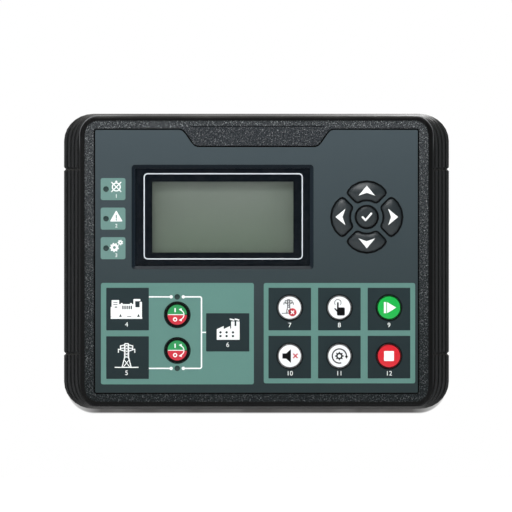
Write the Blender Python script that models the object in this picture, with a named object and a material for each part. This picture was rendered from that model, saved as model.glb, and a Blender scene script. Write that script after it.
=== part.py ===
"""Panel-mounted genset controller.

The front faces -Y and +Z is up. The origin is the centre of the panel
cut-out, in the plane of the gasket's rear face, where the panel's front
surface lies. Everything with y below zero stands in front of the panel.
All sizes are in metres.
"""
import math

import bmesh
import bpy
from mathutils import Matrix, Vector

# General clearances
FIT = 0.0003              # between two pieces that touch or seat
EDGE_GROOVE = 0.0006      # open groove between bezel and overlay

# Overlay: what stands on it from left to right, and the margins between
LEFT_MARGIN = 0.0037
INDICATOR_WIDTH = 0.0154
INDICATOR_GAP = 0.0038
WINDOW_WIDTH = 0.1132
PAD_GAP = 0.0107
PAD_REACH = 0.0224        # centre of the arrow pad to the tip of a key hole
RIGHT_MARGIN = 0.0096

# Overlay: what stands on it from top to bottom
TOP_MARGIN = 0.0219
WINDOW_HEIGHT = 0.0651
ROW_DROP = 0.0238         # window's lower edge to the first row of keys
ROW_PITCH = 0.0301
BOTTOM_MARGIN = 0.0231

OVERLAY_CORNER = 0.0012
OVERLAY_THICKNESS = 0.0006
OVERLAY_RECESS = 0.0010   # depth of its bed in the bezel

# Plain tab of the bezel that reaches down into the overlay's top edge
TAB_TOP_WIDTH = 0.0954
TAB_FOOT_WIDTH = 0.0734
TAB_DROP = 0.0107

# Bezel
SIDE_BORDER = 0.0194      # overlay edge to bezel edge, left and right
END_BORDER = 0.0100       # overlay edge to bezel edge, top and bottom
BEZEL_DEPTH = 0.0145
SKIRT_HEIGHT = 0.0038
FACE_WALL = 0.0030
CORNER_RUN_X = 0.0184     # corner curve, measured along X and along Z
CORNER_RUN_Z = 0.0170
CORNER_DROP = 0.0045      # how much longer the curve is at the face edge
RIM_CHAMFER = 0.0011

# Grip ribs along both sides of the bezel
GROOVE_COUNT = 4
FIRST_GROOVE = 0.0019     # from the bezel's outer edge
RIB_PITCH = 0.0023
GROOVE_WIDTH = 0.0011
GROOVE_DEPTH = 0.0012
EDGE_BACK = 0.0010        # face edge, behind the flat of the face
EDGE_END_INSET = 0.0017
FACE_SLOPE = 0.0022       # width of the slope between face and face edge
FACE_END_SLOPE = 0.0012
NOTCH_SPACING = 0.1150    # between the two V notches of one side
NOTCH_WIDTH = 0.0030
NOTCH_DEPTH = 0.0012

# Panel seat and gasket
FLANGE_SIDE = 0.0130      # bezel edge to panel cut-out
FLANGE_END = 0.0120
GASKET_THICKNESS = 0.0015
GASKET_BAND = 0.0050
GASKET_SETBACK = 0.0016   # gasket's inner edge, outside the cut-out
GASKET_CORNER = 0.0060
CHANNEL_GAP = 0.0008
CHANNEL_DEPTH = 0.0030
SKIRT_WALL = 0.0022

# Display
WINDOW_CORNER = 0.0020
WINDOW_BEVEL = 0.0021
PANE_SETBACK = 0.0020     # pane's front, behind the bezel's face
PANE_THICKNESS = 0.0015
LEDGE_THICKNESS = 0.0012
LEDGE_MARGIN = 0.0030     # outside the window's edge
LCD_VIEW_WIDTH = 0.0881
LCD_VIEW_HEIGHT = 0.0444
LCD_BORDER = 0.0060       # LCD module's edge, outside its view
LCD_FRAME_WALL = 0.0008
LCD_FRAME_LIP = 0.0012    # frame opening, outside the view
LCD_GLASS_THICKNESS = 0.0022

# Keys
KEY_RADIUS = 0.00745
OK_RADIUS = 0.0064
KEY_GAP = 0.0006          # open ring between key and overlay
KEY_PROUD = 0.0010
KEY_TRAVEL = 0.0008
KEY_FLANGE = 0.0009
KEY_FLANGE_THICKNESS = 0.0012
KEY_EDGE = 0.0006
STEM_RADIUS = 0.0018
ARROW_TIP_RADIUS = 0.0143
ARROW_INNER_RADIUS = 0.01085
ARROW_WEB = 0.0031        # strip of overlay between two arrow keys
ARROW_CORNER = 0.0016
ARROW_STEM_REACH = 0.0164
KEY_COLUMN_MARGIN = 0.0182
KEY_COLUMN_PITCH = 0.03085
TRANSFER_MARGIN = 0.0513
TRANSFER_SPACING = 0.0222
TRANSFER_DROP = 0.0005

# Lamps
LAMP_RADIUS = 0.0016
LAMP_FLANGE = 0.0010
LAMP_FLANGE_THICKNESS = 0.0010
INDICATOR_MARGIN = 0.0070
INDICATOR_PITCH = 0.0184
INDICATOR_DROP = 0.0010
SUPPLY_LAMP_SPACING = 0.0445

# Front board
BOARD_THICKNESS = 0.0016
BOARD_SETBACK = 0.0093    # board's front, behind the face wall
BOARD_SIDE_GAP = 0.0063   # to the bezel's inner wall
BOARD_END_GAP = 0.0108
SWITCH_SIZE = 0.0062
SWITCH_HEIGHT = 0.0035
SWITCH_ENTRY = 0.0010     # how far a stem stands in its switch at rest
SWITCH_END_GAP = 0.0007   # below a pressed stem
LED_SIZE = 0.0022
LED_HEIGHT = 0.0009
BOARD_SCREW_INSET_X = 0.0050
BOARD_SCREW_INSET_Z = 0.0075
BUZZER_RADIUS = 0.0060
BUZZER_HEIGHT = 0.0080
BUZZER_PORT_RADIUS = 0.0012
BUZZER_PORT_DEPTH = 0.0030

# Screws that hold boards and housing
SCREW_RADIUS = 0.0014
SCREW_HEAD_RADIUS = 0.0023
SCREW_HEAD_HEIGHT = 0.0018
BOSS_WALL = 0.0014
SCREW_END_GAP = 0.0007
BOARD_SCREW_LENGTH = 0.0072
HOUSING_SCREW_LENGTH = 0.0095

# Rear housing
CUTOUT_PLAY = 0.0010      # housing to panel cut-out, each side
HOUSING_WALL = 0.0022
HOUSING_CORNER = 0.0040
HOUSING_LIP = 0.0030      # how far it stands in the bezel
SHELF_DEPTH = 0.0257      # panel to the shelves of the terminals
HOUSING_DEPTH = 0.0370    # panel to the rearmost face
SHELF_WIDTH = 0.0230
TUNNEL_RADIUS = 0.0044
TUNNEL_INSET_X = 0.0060
TUNNEL_INSET_Z = 0.0055
TUNNEL_FLOOR = 0.0030
VENT_COUNT = 9
VENT_PITCH = 0.0060
VENT_WIDTH = 0.0022
VENT_LENGTH = 0.0300
VENT_OFFSET = 0.0560

# Rear board, its posts and its connectors
IO_BOARD_DEPTH = 0.0120   # panel to the board's front
IO_BOARD_SIDE_GAP = 0.0120
IO_BOARD_END_GAP = 0.0075
POST_RADIUS = 0.0030
POST_PIN_RADIUS = 0.0011
POST_PIN_LENGTH = 0.0030
POST_INSET_X = 0.0180
POST_INSET_Z = 0.0190
LINK_WIDTH = 0.0420
LINK_DEPTH = 0.0060
LINK_WAIST = 0.0015
LINK_DROP = 0.0210        # below the centre of the boards
TERMINAL_WAYS = 8
TERMINAL_PITCH = 0.00508
TERMINAL_GAP = 0.0130     # between two plugs of a row
TERMINAL_INSET = 0.0130   # row's centre, inside the housing's edge
HEADER_WALL = 0.0010
HEADER_DEPTH_Z = 0.0088
HEADER_PROUD = 0.0007     # header above its shelf
HEADER_FLOOR = 0.0016
PLUG_HEIGHT = 0.0090      # plug above its header
PLUG_OVERHANG = 0.0032
WIRE_HOLE = 0.0030
WIRE_HOLE_DEPTH = 0.0068
WELL_SIZE = 0.0034
WELL_DEPTH = 0.0018
USB_WIDTH = 0.0120
USB_HEIGHT = 0.0108
USB_WALL = 0.0014
USB_MOUTH_DEPTH = 0.0090
USB_TONGUE_WIDTH = 0.0044
USB_TONGUE_HEIGHT = 0.0026
USB_PROUD = 0.0004

# Mounting clips
CLIP_SPACING = 0.0860     # between the two clips of one side
CLIP_WIDTH = 0.0140
CLIP_PLATE = 0.0022
CLIP_LEG = 0.0170
CLIP_ARM_REACH = 0.0105
CLIP_ARM_THICKNESS = 0.0040
CLIP_ARM_DEPTH = 0.0260   # panel to the arm's rear face
CLIP_SCREW_X = 0.0062     # screw's axis, outside the housing
CLIP_SCREW_RADIUS = 0.0020
CLIP_PANEL_GAP = 0.0030   # screw's tip to the seat plane, for the panel
CLIP_KNOB_RADIUS = 0.0038
CLIP_KNOB_HEIGHT = 0.0050
CLIP_FOOT_RADIUS = 0.0030
CLIP_FOOT_HEIGHT = 0.0015
HOOK_WIDTH = 0.0080
HOOK_NECK = 0.0030
HOOK_TAIL = 0.0030
HOOK_THICKNESS = 0.0020
HOOK_SETBACK = 0.0075     # neck's rear, in front of the arm's rear face

# Roundness: straight steps per quarter turn or per full turn
CORNER_STEPS = 7
SMALL_CORNER_STEPS = 3
TAB_STEPS = 6
KEY_STEPS = 18
LAMP_STEPS = 8
SCREW_STEPS = 8
TUNNEL_STEPS = 10
BOSS_STEPS = 8

# Extra reach of a cutter past the face that it cuts
PAST = 0.0010

# Overall sizes that follow from the values above
OVERLAY_WIDTH = (LEFT_MARGIN + INDICATOR_WIDTH + INDICATOR_GAP + WINDOW_WIDTH
                 + PAD_GAP + 2 * PAD_REACH + RIGHT_MARGIN)
OVERLAY_HEIGHT = TOP_MARGIN + WINDOW_HEIGHT + ROW_DROP + ROW_PITCH + BOTTOM_MARGIN
LEFT = -OVERLAY_WIDTH / 2
RIGHT = OVERLAY_WIDTH / 2
TOP = OVERLAY_HEIGHT / 2
BEZEL_HALF_W = OVERLAY_WIDTH / 2 + SIDE_BORDER
BEZEL_HALF_H = OVERLAY_HEIGHT / 2 + END_BORDER
CUTOUT_HALF_W = BEZEL_HALF_W - FLANGE_SIDE
CUTOUT_HALF_H = BEZEL_HALF_H - FLANGE_END
HOUSING_HALF_W = CUTOUT_HALF_W - CUTOUT_PLAY
HOUSING_HALF_H = CUTOUT_HALF_H - CUTOUT_PLAY
CAVITY_HALF_W = HOUSING_HALF_W + FIT
CAVITY_HALF_H = HOUSING_HALF_H + FIT

# Levels along Y, from the front to the rear
REAR_RIM = -(GASKET_THICKNESS + FIT)
FACE = REAR_RIM - BEZEL_DEPTH
OVERLAY_BED = FACE + OVERLAY_RECESS
OVERLAY_REAR = OVERLAY_BED - FIT
OVERLAY_FRONT = OVERLAY_REAR - OVERLAY_THICKNESS
WALL_REAR = FACE + FACE_WALL
PANE_FRONT = FACE + PANE_SETBACK
PANE_REAR = PANE_FRONT + PANE_THICKNESS
LEDGE_FRONT = PANE_REAR + FIT
LEDGE_REAR = LEDGE_FRONT + LEDGE_THICKNESS
BOARD_FRONT = WALL_REAR + BOARD_SETBACK
BOARD_REAR = BOARD_FRONT + BOARD_THICKNESS
LIP_FRONT = REAR_RIM - HOUSING_LIP
IO_BOARD_REAR = IO_BOARD_DEPTH + BOARD_THICKNESS

# Places on the overlay
WINDOW_X = LEFT + LEFT_MARGIN + INDICATOR_WIDTH + INDICATOR_GAP + WINDOW_WIDTH / 2
WINDOW_Z = TOP - TOP_MARGIN - WINDOW_HEIGHT / 2
PAD_X = RIGHT - RIGHT_MARGIN - PAD_REACH
PAD_Z = WINDOW_Z
ROW_1_Z = WINDOW_Z - WINDOW_HEIGHT / 2 - ROW_DROP
ROW_2_Z = ROW_1_Z - ROW_PITCH
TRANSFER_X = LEFT + TRANSFER_MARGIN
TRANSFER_Z = (ROW_1_Z + ROW_2_Z) / 2 - TRANSFER_DROP
INDICATOR_X = LEFT + INDICATOR_MARGIN
INDICATOR_Z = WINDOW_Z - INDICATOR_DROP


def column_x(column):
    """X of one column of square-set keys, 1 to 3 from the left."""
    return RIGHT - KEY_COLUMN_MARGIN - (3 - column) * KEY_COLUMN_PITCH


ROUND_KEYS = {
    "key_ok": (PAD_X, PAD_Z, OK_RADIUS),
    "key_genset_breaker": (TRANSFER_X, TRANSFER_Z + TRANSFER_SPACING / 2, KEY_RADIUS),
    "key_mains_breaker": (TRANSFER_X, TRANSFER_Z - TRANSFER_SPACING / 2, KEY_RADIUS),
    "key_test_on_load": (column_x(1), ROW_1_Z, KEY_RADIUS),
    "key_manual": (column_x(2), ROW_1_Z, KEY_RADIUS),
    "key_start": (column_x(3), ROW_1_Z, KEY_RADIUS),
    "key_mute": (column_x(1), ROW_2_Z, KEY_RADIUS),
    "key_auto": (column_x(2), ROW_2_Z, KEY_RADIUS),
    "key_stop": (column_x(3), ROW_2_Z, KEY_RADIUS),
}

# Quarter turns, counter-clockwise from up
ARROW_KEYS = {"key_up": 0, "key_left": 1, "key_down": 2, "key_right": 3}

LAMPS = {
    "lamp_alarm": (INDICATOR_X, INDICATOR_Z + INDICATOR_PITCH),
    "lamp_warning": (INDICATOR_X, INDICATOR_Z),
    "lamp_running": (INDICATOR_X, INDICATOR_Z - INDICATOR_PITCH),
    "lamp_genset": (TRANSFER_X, TRANSFER_Z + SUPPLY_LAMP_SPACING / 2),
    "lamp_mains": (TRANSFER_X, TRANSFER_Z - SUPPLY_LAMP_SPACING / 2),
}

KEY_COLOURS = {
    "key_start": (0.02, 0.45, 0.10),
    "key_stop": (0.85, 0.03, 0.05),
    "key_test_on_load": (0.72, 0.73, 0.74),
    "key_manual": (0.72, 0.73, 0.74),
    "key_mute": (0.72, 0.73, 0.74),
    "key_auto": (0.72, 0.73, 0.74),
}
DARK_KEY_COLOUR = (0.035, 0.040, 0.045)


def clear_scene():
    """Removes what a new file starts with."""
    for old in list(bpy.data.objects):
        bpy.data.objects.remove(old, do_unlink=True)


def material(name, colour, roughness, metallic=0.0):
    """A Principled material, made once for each name."""
    found = bpy.data.materials.get(name)
    if found:
        return found
    made = bpy.data.materials.new(name)
    made.use_nodes = True
    shader = made.node_tree.nodes["Principled BSDF"]
    shader.inputs["Base Color"].default_value = (*colour, 1.0)
    shader.inputs["Roughness"].default_value = roughness
    shader.inputs["Metallic"].default_value = metallic
    made.diffuse_color = (*colour, 1.0)
    return made


def circle(x, z, radius, steps):
    """Points of a circle in the XZ plane, counter-clockwise from the front."""
    turn = 2 * math.pi / steps
    return [(x + radius * math.cos(i * turn), z + radius * math.sin(i * turn))
            for i in range(steps)]


def rounded_box(x, z, half_w, half_h, radius, steps=SMALL_CORNER_STEPS):
    """Points of a rectangle with round corners, from its lower right corner."""
    points = []
    for quarter, (side, end) in enumerate(((1, -1), (1, 1), (-1, 1), (-1, -1))):
        for i in range(steps + 1):
            angle = (quarter - 1 + i / steps) * math.pi / 2
            points.append((x + side * (half_w - radius) + radius * math.cos(angle),
                           z + end * (half_h - radius) + radius * math.sin(angle)))
    return points


def square_box(x, z, half_w, half_h):
    """Four corners of a rectangle, counter-clockwise from the lower right."""
    return [(x + half_w, z - half_h), (x + half_w, z + half_h),
            (x - half_w, z + half_h), (x - half_w, z - half_h)]


def fillet(before, corner, after, radius, steps):
    """Points of the arc that rounds one corner of an outline."""
    corner = Vector(corner)
    to_before = (Vector(before) - corner).normalized()
    to_after = (Vector(after) - corner).normalized()
    half = to_before.angle(to_after) / 2
    start = corner + to_before * radius / math.tan(half)
    centre = corner + (to_before + to_after).normalized() * radius / math.sin(half)
    first = start - centre
    sweep = (math.pi - 2 * half)
    turn = -1 if to_before.x * to_after.y - to_before.y * to_after.x > 0 else 1
    points = []
    for i in range(steps + 1):
        angle = turn * sweep * i / steps
        points.append((centre.x + first.x * math.cos(angle) - first.y * math.sin(angle),
                       centre.y + first.x * math.sin(angle) + first.y * math.cos(angle)))
    return points


def loft(bm, loops):
    """Skins a closed solid through loops of equally many points, with end caps."""
    rings = [[bm.verts.new(point) for point in loop] for loop in loops]
    for ring, following in zip(rings, rings[1:]):
        count = len(ring)
        for i in range(count):
            j = (i + 1) % count
            bm.faces.new((ring[i], following[i], following[j], ring[j]))
    bm.faces.new(rings[0])
    bm.faces.new(list(reversed(rings[-1])))


def at_depth(outline, y):
    """An XZ outline as 3-D points at one depth."""
    return [(x, y, z) for x, z in outline]


def prism(bm, outline, front, rear):
    """A straight solid along Y with the given outline."""
    loft(bm, [at_depth(outline, front), at_depth(outline, rear)])


def stepped(bm, stages):
    """A solid along Y through pairs of outline and depth."""
    loft(bm, [at_depth(outline, y) for outline, y in stages])


def block(bm, low, high):
    """A box between two corners."""
    middle_x = (low[0] + high[0]) / 2
    middle_z = (low[2] + high[2]) / 2
    outline = square_box(middle_x, middle_z, (high[0] - low[0]) / 2, (high[2] - low[2]) / 2)
    prism(bm, outline, low[1], high[1])


def mesh_object(name, bm, look=None, origin=None, smooth=False):
    """Turns a bmesh into an object, with its origin where it is wanted."""
    bmesh.ops.recalc_face_normals(bm, faces=bm.faces)
    mesh = bpy.data.meshes.new(name)
    bm.to_mesh(mesh)
    bm.free()
    if smooth:
        mesh.shade_smooth()
        mesh.set_sharp_from_angle(angle=math.radians(35))
    made = bpy.data.objects.new(name, mesh)
    if origin:
        mesh.transform(Matrix.Translation(-Vector(origin)))
        made.location = origin
    if look:
        mesh.materials.append(look)
    bpy.context.scene.collection.objects.link(made)
    return made


def combine(target, tool_name, bm, operation):
    """Joins or cuts a solid with what a bmesh holds, through a Boolean."""
    tool = mesh_object(tool_name, bm)
    tool.hide_render = True
    tool.display_type = "WIRE"
    tool.hide_set(True)
    step = target.modifiers.new(tool_name, "BOOLEAN")
    step.operation = operation
    step.solver = "EXACT"
    step.object = tool


def cut(target, tool_name, bm):
    """Cuts what a bmesh holds out of a solid."""
    combine(target, tool_name, bm, "DIFFERENCE")


def add(target, tool_name, bm):
    """Joins what a bmesh holds to a solid."""
    combine(target, tool_name, bm, "UNION")


def corners(half_w, half_h):
    """The four places at plus or minus two half sizes."""
    return [(side * half_w, end * half_h) for side in (-1, 1) for end in (-1, 1)]


def bezel_stations():
    """Profile of the bezel from its rear rim to its face.

    Each station is (side inset, side level, end inset, end level). Insets
    are measured from the outer edge, levels along Y. The sides step forward
    over the ribs and their grooves. The ends rise straight, so the ribs run
    out into them through the corners.
    """
    skirt_top = REAR_RIM - SKIRT_HEIGHT
    edge_level = FACE + EDGE_BACK
    edge_inset = FIRST_GROOVE + (GROOVE_COUNT - 0.5) * RIB_PITCH + GROOVE_WIDTH / 4

    def crown(inset):
        share = inset / edge_inset
        return skirt_top + share * (edge_level - skirt_top)

    def station(inset, sunk=0.0):
        return (inset, crown(inset) + sunk, EDGE_END_INSET * inset / edge_inset, crown(inset))

    stations = [
        (RIM_CHAMFER, REAR_RIM, RIM_CHAMFER, REAR_RIM),
        (0.0, REAR_RIM - RIM_CHAMFER, 0.0, REAR_RIM - RIM_CHAMFER),
        (0.0, skirt_top, 0.0, skirt_top),
    ]
    for groove in range(GROOVE_COUNT):
        middle = FIRST_GROOVE + groove * RIB_PITCH
        stations.append(station(middle - GROOVE_WIDTH / 2))
        stations.append(station(middle, GROOVE_DEPTH))
        stations.append(station(middle + GROOVE_WIDTH / 2))
    stations.append(station(edge_inset))
    stations.append((edge_inset + FACE_SLOPE, FACE, EDGE_END_INSET + FACE_END_SLOPE, FACE))
    return stations


def bezel_loop(side_inset, side_level, end_inset, end_level, share):
    """One closed loop of the bezel's outer skin."""
    centre_x = BEZEL_HALF_W - CORNER_RUN_X
    centre_z = BEZEL_HALF_H - CORNER_RUN_Z - CORNER_DROP * share
    run_x = BEZEL_HALF_W - side_inset - centre_x
    run_z = BEZEL_HALF_H - end_inset - centre_z
    points = []
    for quarter, (side, end) in enumerate(((1, -1), (1, 1), (-1, 1), (-1, -1))):
        for i in range(CORNER_STEPS + 1):
            angle = (quarter - 1 + i / CORNER_STEPS) * math.pi / 2
            toward_end = abs(math.sin(angle)) ** 3
            y = side_level + (end_level - side_level) * toward_end
            points.append((side * centre_x + run_x * math.cos(angle), y,
                           end * centre_z + run_z * math.sin(angle)))
    return points


def overlay_outline(grow):
    """Outline of the overlay with the notch for the bezel's tab."""
    points = rounded_box(0, 0, OVERLAY_WIDTH / 2 + grow, OVERLAY_HEIGHT / 2 + grow, OVERLAY_CORNER + grow)
    run = (TAB_TOP_WIDTH - TAB_FOOT_WIDTH) / 2
    notch = []
    for i in range(TAB_STEPS + 1):
        share = i / TAB_STEPS
        rise = TAB_DROP / 2 * (1 - math.cos(math.pi * share))
        slope = math.pi / 2 * math.sin(math.pi * share) * TAB_DROP / run
        length = math.hypot(1, slope)
        notch.append((TAB_FOOT_WIDTH / 2 + run * share - grow * slope / length,
                      TOP - TAB_DROP + rise + grow / length))
    right_side = list(reversed(notch))
    left_side = [(-x, z) for x, z in notch]
    first_top_left = 2 * (SMALL_CORNER_STEPS + 1)
    return points[:first_top_left] + right_side + left_side + points[first_top_left:]


def arrow_outline(quarter_turns, grow):
    """Outline of one arrow key, turned about the centre of the pad."""
    tip = PAD_REACH - KEY_GAP
    outer_radius = ARROW_TIP_RADIUS + grow
    outer_centre = tip - ARROW_TIP_RADIUS
    inner_radius = ARROW_INNER_RADIUS - grow
    shift = (ARROW_WEB / 2 + KEY_GAP - grow) * math.sqrt(2)

    # Where the side z = x + shift meets the two arcs
    offset = shift - outer_centre
    outer_x = (-offset + math.sqrt(2 * outer_radius ** 2 - offset ** 2)) / 2
    inner_x = (-shift + math.sqrt(2 * inner_radius ** 2 - shift ** 2)) / 2
    outer_corner = (outer_x, outer_x + shift)
    inner_corner = (inner_x, inner_x + shift)

    outer_angle = math.atan2(outer_x, outer_x + shift - outer_centre)
    inner_angle = math.atan2(inner_x, inner_x + shift)
    outer_steps = 6
    inner_steps = 4
    outer_arc = []
    for i in range(1, outer_steps):
        angle = outer_angle * (1 - 2 * i / outer_steps)
        outer_arc.append((outer_radius * math.sin(angle),
                          outer_centre + outer_radius * math.cos(angle)))
    inner_arc = []
    for i in range(1, inner_steps):
        angle = inner_angle * (2 * i / inner_steps - 1)
        inner_arc.append((inner_radius * math.sin(angle), inner_radius * math.cos(angle)))

    mirror_outer = (-outer_corner[0], outer_corner[1])
    mirror_inner = (-inner_corner[0], inner_corner[1])
    rounding = ARROW_CORNER + grow / 2
    points = fillet(inner_corner, outer_corner, outer_arc[0], rounding, 2)
    points += outer_arc
    points += fillet(outer_arc[-1], mirror_outer, mirror_inner, rounding, 2)
    points += fillet(mirror_outer, mirror_inner, inner_arc[0], rounding, 2)
    points += inner_arc
    points += fillet(inner_arc[-1], inner_corner, outer_corner, rounding, 2)

    angle = quarter_turns * math.pi / 2
    return [(PAD_X + x * math.cos(angle) - z * math.sin(angle),
             PAD_Z + x * math.sin(angle) + z * math.cos(angle)) for x, z in points]


def arrow_centre(quarter_turns):
    """Where an arrow key's stem stands."""
    angle = quarter_turns * math.pi / 2
    return (PAD_X - ARROW_STEM_REACH * math.sin(angle),
            PAD_Z + ARROW_STEM_REACH * math.cos(angle))


def key_outlines():
    """Each key's name with its outline as a function of growth, and its centre."""
    keys = {}
    for name, (x, z, radius) in ROUND_KEYS.items():
        def outline(grow, x=x, z=z, radius=radius):
            return circle(x, z, radius + grow, KEY_STEPS)
        keys[name] = (outline, (x, z))
    for name, turns in ARROW_KEYS.items():
        def outline(grow, turns=turns):
            return arrow_outline(turns, grow)
        keys[name] = (outline, arrow_centre(turns))
    return keys


def window_box(grow, y):
    """Rounded outline round the display window, at a depth."""
    corner = max(WINDOW_CORNER + grow, WINDOW_CORNER / 4)
    outline = rounded_box(WINDOW_X, WINDOW_Z, WINDOW_WIDTH / 2 + grow,
                          WINDOW_HEIGHT / 2 + grow, corner)
    return outline, y


def notch_loop(side, z, outward):
    """Cross-section of the V notch's cutter at one height."""
    skirt_top = REAR_RIM - SKIRT_HEIGHT
    edge_inset = FIRST_GROOVE + (GROOVE_COUNT - 0.5) * RIB_PITCH
    outer_x = BEZEL_HALF_W + outward
    edge_x = BEZEL_HALF_W - edge_inset + outward / 2
    edge_y = FACE + EDGE_BACK - outward / 2
    far = 2 * FLANGE_SIDE
    profile = [(outer_x, REAR_RIM + PAST), (outer_x, skirt_top - outward / 2), (edge_x, edge_y),
               (edge_x, edge_y - far), (outer_x + far, edge_y - far), (outer_x + far, REAR_RIM + PAST)]
    return [(side * x, y, z) for x, y in profile]


def board_screw_places():
    """Where the screws of the front board stand."""
    return corners(CAVITY_HALF_W - BOARD_SIDE_GAP - BOARD_SCREW_INSET_X,
                   CAVITY_HALF_H - BOARD_END_GAP - BOARD_SCREW_INSET_Z)


def housing_screw_places():
    """Where the screws stand that hold the housing to the bezel."""
    return corners(HOUSING_HALF_W - TUNNEL_INSET_X, HOUSING_HALF_H - TUNNEL_INSET_Z)


def make_bezel():
    """Front bezel: lofted rim with side ribs, then its wall, ledge and bosses."""
    stations = bezel_stations()
    deepest = stations[-1][0]
    bm = bmesh.new()
    loft(bm, [bezel_loop(*entry, entry[0] / deepest) for entry in stations])
    bezel = mesh_object("front_bezel", bm, material("bezel plastic", (0.045, 0.048, 0.052), 0.6))

    bm = bmesh.new()
    cavity = rounded_box(0, 0, CAVITY_HALF_W, CAVITY_HALF_H, HOUSING_CORNER + FIT)
    prism(bm, cavity, WALL_REAR, REAR_RIM + PAST)
    cut(bezel, "cut_bezel_cavity", bm)

    # Relief channel behind the ribs, between the gasket's land and the skirt
    land = GASKET_SETBACK + GASKET_BAND + CHANNEL_GAP
    bm = bmesh.new()
    prism(bm, rounded_box(0, 0, BEZEL_HALF_W - SKIRT_WALL, BEZEL_HALF_H - SKIRT_WALL,
                          CORNER_RUN_Z - SKIRT_WALL, 5), REAR_RIM - CHANNEL_DEPTH, REAR_RIM + PAST)
    channel = mesh_object("cut_bezel_channel", bm)
    bm = bmesh.new()
    prism(bm, rounded_box(0, 0, CUTOUT_HALF_W + land, CUTOUT_HALF_H + land,
                          GASKET_CORNER + land), REAR_RIM - 2 * CHANNEL_DEPTH, REAR_RIM + 2 * PAST)
    cut(channel, "cut_channel_core", bm)
    channel.hide_render = True
    channel.display_type = "WIRE"
    channel.hide_set(True)
    step = bezel.modifiers.new("cut_bezel_channel", "BOOLEAN")
    step.operation = "DIFFERENCE"
    step.solver = "EXACT"
    step.object = channel

    # Ledge for the display pane, and the screw bosses
    bm = bmesh.new()
    embed = FACE_WALL / 2
    stepped(bm, [window_box(LEDGE_MARGIN, WALL_REAR - embed),
                 window_box(LEDGE_MARGIN, LEDGE_REAR)])
    boss_radius = SCREW_RADIUS + FIT + BOSS_WALL
    for x, z in board_screw_places():
        prism(bm, circle(x, z, boss_radius, BOSS_STEPS), WALL_REAR - embed, BOARD_FRONT - FIT)
    for x, z in housing_screw_places():
        prism(bm, circle(x, z, boss_radius, BOSS_STEPS), WALL_REAR - embed, LIP_FRONT - FIT)
    add(bezel, "add_bezel_bosses", bm)

    bm = bmesh.new()
    for x, z in board_screw_places():
        prism(bm, circle(x, z, SCREW_RADIUS + FIT, SCREW_STEPS),
              BOARD_REAR + FIT - BOARD_SCREW_LENGTH - SCREW_END_GAP, BOARD_FRONT + PAST)
    for x, z in housing_screw_places():
        tip = LIP_FRONT + TUNNEL_FLOOR + FIT - HOUSING_SCREW_LENGTH - SCREW_END_GAP
        prism(bm, circle(x, z, SCREW_RADIUS + FIT, SCREW_STEPS), tip, LIP_FRONT + PAST)
    cut(bezel, "cut_boss_bores", bm)

    bm = bmesh.new()
    prism(bm, overlay_outline(EDGE_GROOVE), FACE - PAST, OVERLAY_BED)
    cut(bezel, "cut_overlay_bed", bm)

    bm = bmesh.new()
    lcd_half_w = LCD_VIEW_WIDTH / 2 + LCD_FRAME_LIP
    lcd_half_h = LCD_VIEW_HEIGHT / 2 + LCD_FRAME_LIP
    stepped(bm, [window_box(PAST, OVERLAY_BED - PAST), window_box(0, OVERLAY_BED),
                 window_box(-WINDOW_BEVEL, PANE_FRONT), window_box(-WINDOW_BEVEL, LEDGE_FRONT)])
    cut(bezel, "cut_window_bevel", bm)
    bm = bmesh.new()
    block(bm, (WINDOW_X - lcd_half_w, PANE_FRONT, WINDOW_Z - lcd_half_h),
          (WINDOW_X + lcd_half_w, LEDGE_REAR + PAST, WINDOW_Z + lcd_half_h))
    cut(bezel, "cut_lcd_opening", bm)

    bm = bmesh.new()
    for outline, _ in key_outlines().values():
        prism(bm, outline(KEY_GAP), OVERLAY_BED - PAST, WALL_REAR + PAST)
    for x, z in LAMPS.values():
        prism(bm, circle(x, z, LAMP_RADIUS + FIT, LAMP_STEPS), OVERLAY_BED - PAST, WALL_REAR + PAST)
    cut(bezel, "cut_key_holes", bm)

    bm = bmesh.new()
    for side in (-1, 1):
        for end in (-1, 1):
            z = end * NOTCH_SPACING / 2
            loft(bm, [notch_loop(side, z - NOTCH_WIDTH / 2, FIT),
                      notch_loop(side, z, -NOTCH_DEPTH),
                      notch_loop(side, z + NOTCH_WIDTH / 2, FIT)])
    cut(bezel, "cut_side_notches", bm)


def make_overlay():
    """Printed face sheet with its openings."""
    bm = bmesh.new()
    prism(bm, overlay_outline(0), OVERLAY_FRONT, OVERLAY_REAR)
    overlay = mesh_object("front_overlay", bm, material("overlay sheet", (0.055, 0.075, 0.085), 0.35))
    bm = bmesh.new()
    stepped(bm, [window_box(0, OVERLAY_FRONT - PAST), window_box(0, OVERLAY_REAR + PAST)])
    for outline, _ in key_outlines().values():
        prism(bm, outline(KEY_GAP), OVERLAY_FRONT - PAST, OVERLAY_REAR + PAST)
    for x, z in LAMPS.values():
        prism(bm, circle(x, z, LAMP_RADIUS + FIT, LAMP_STEPS), OVERLAY_FRONT - PAST, OVERLAY_REAR + PAST)
    cut(overlay, "cut_overlay_openings", bm)


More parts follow.
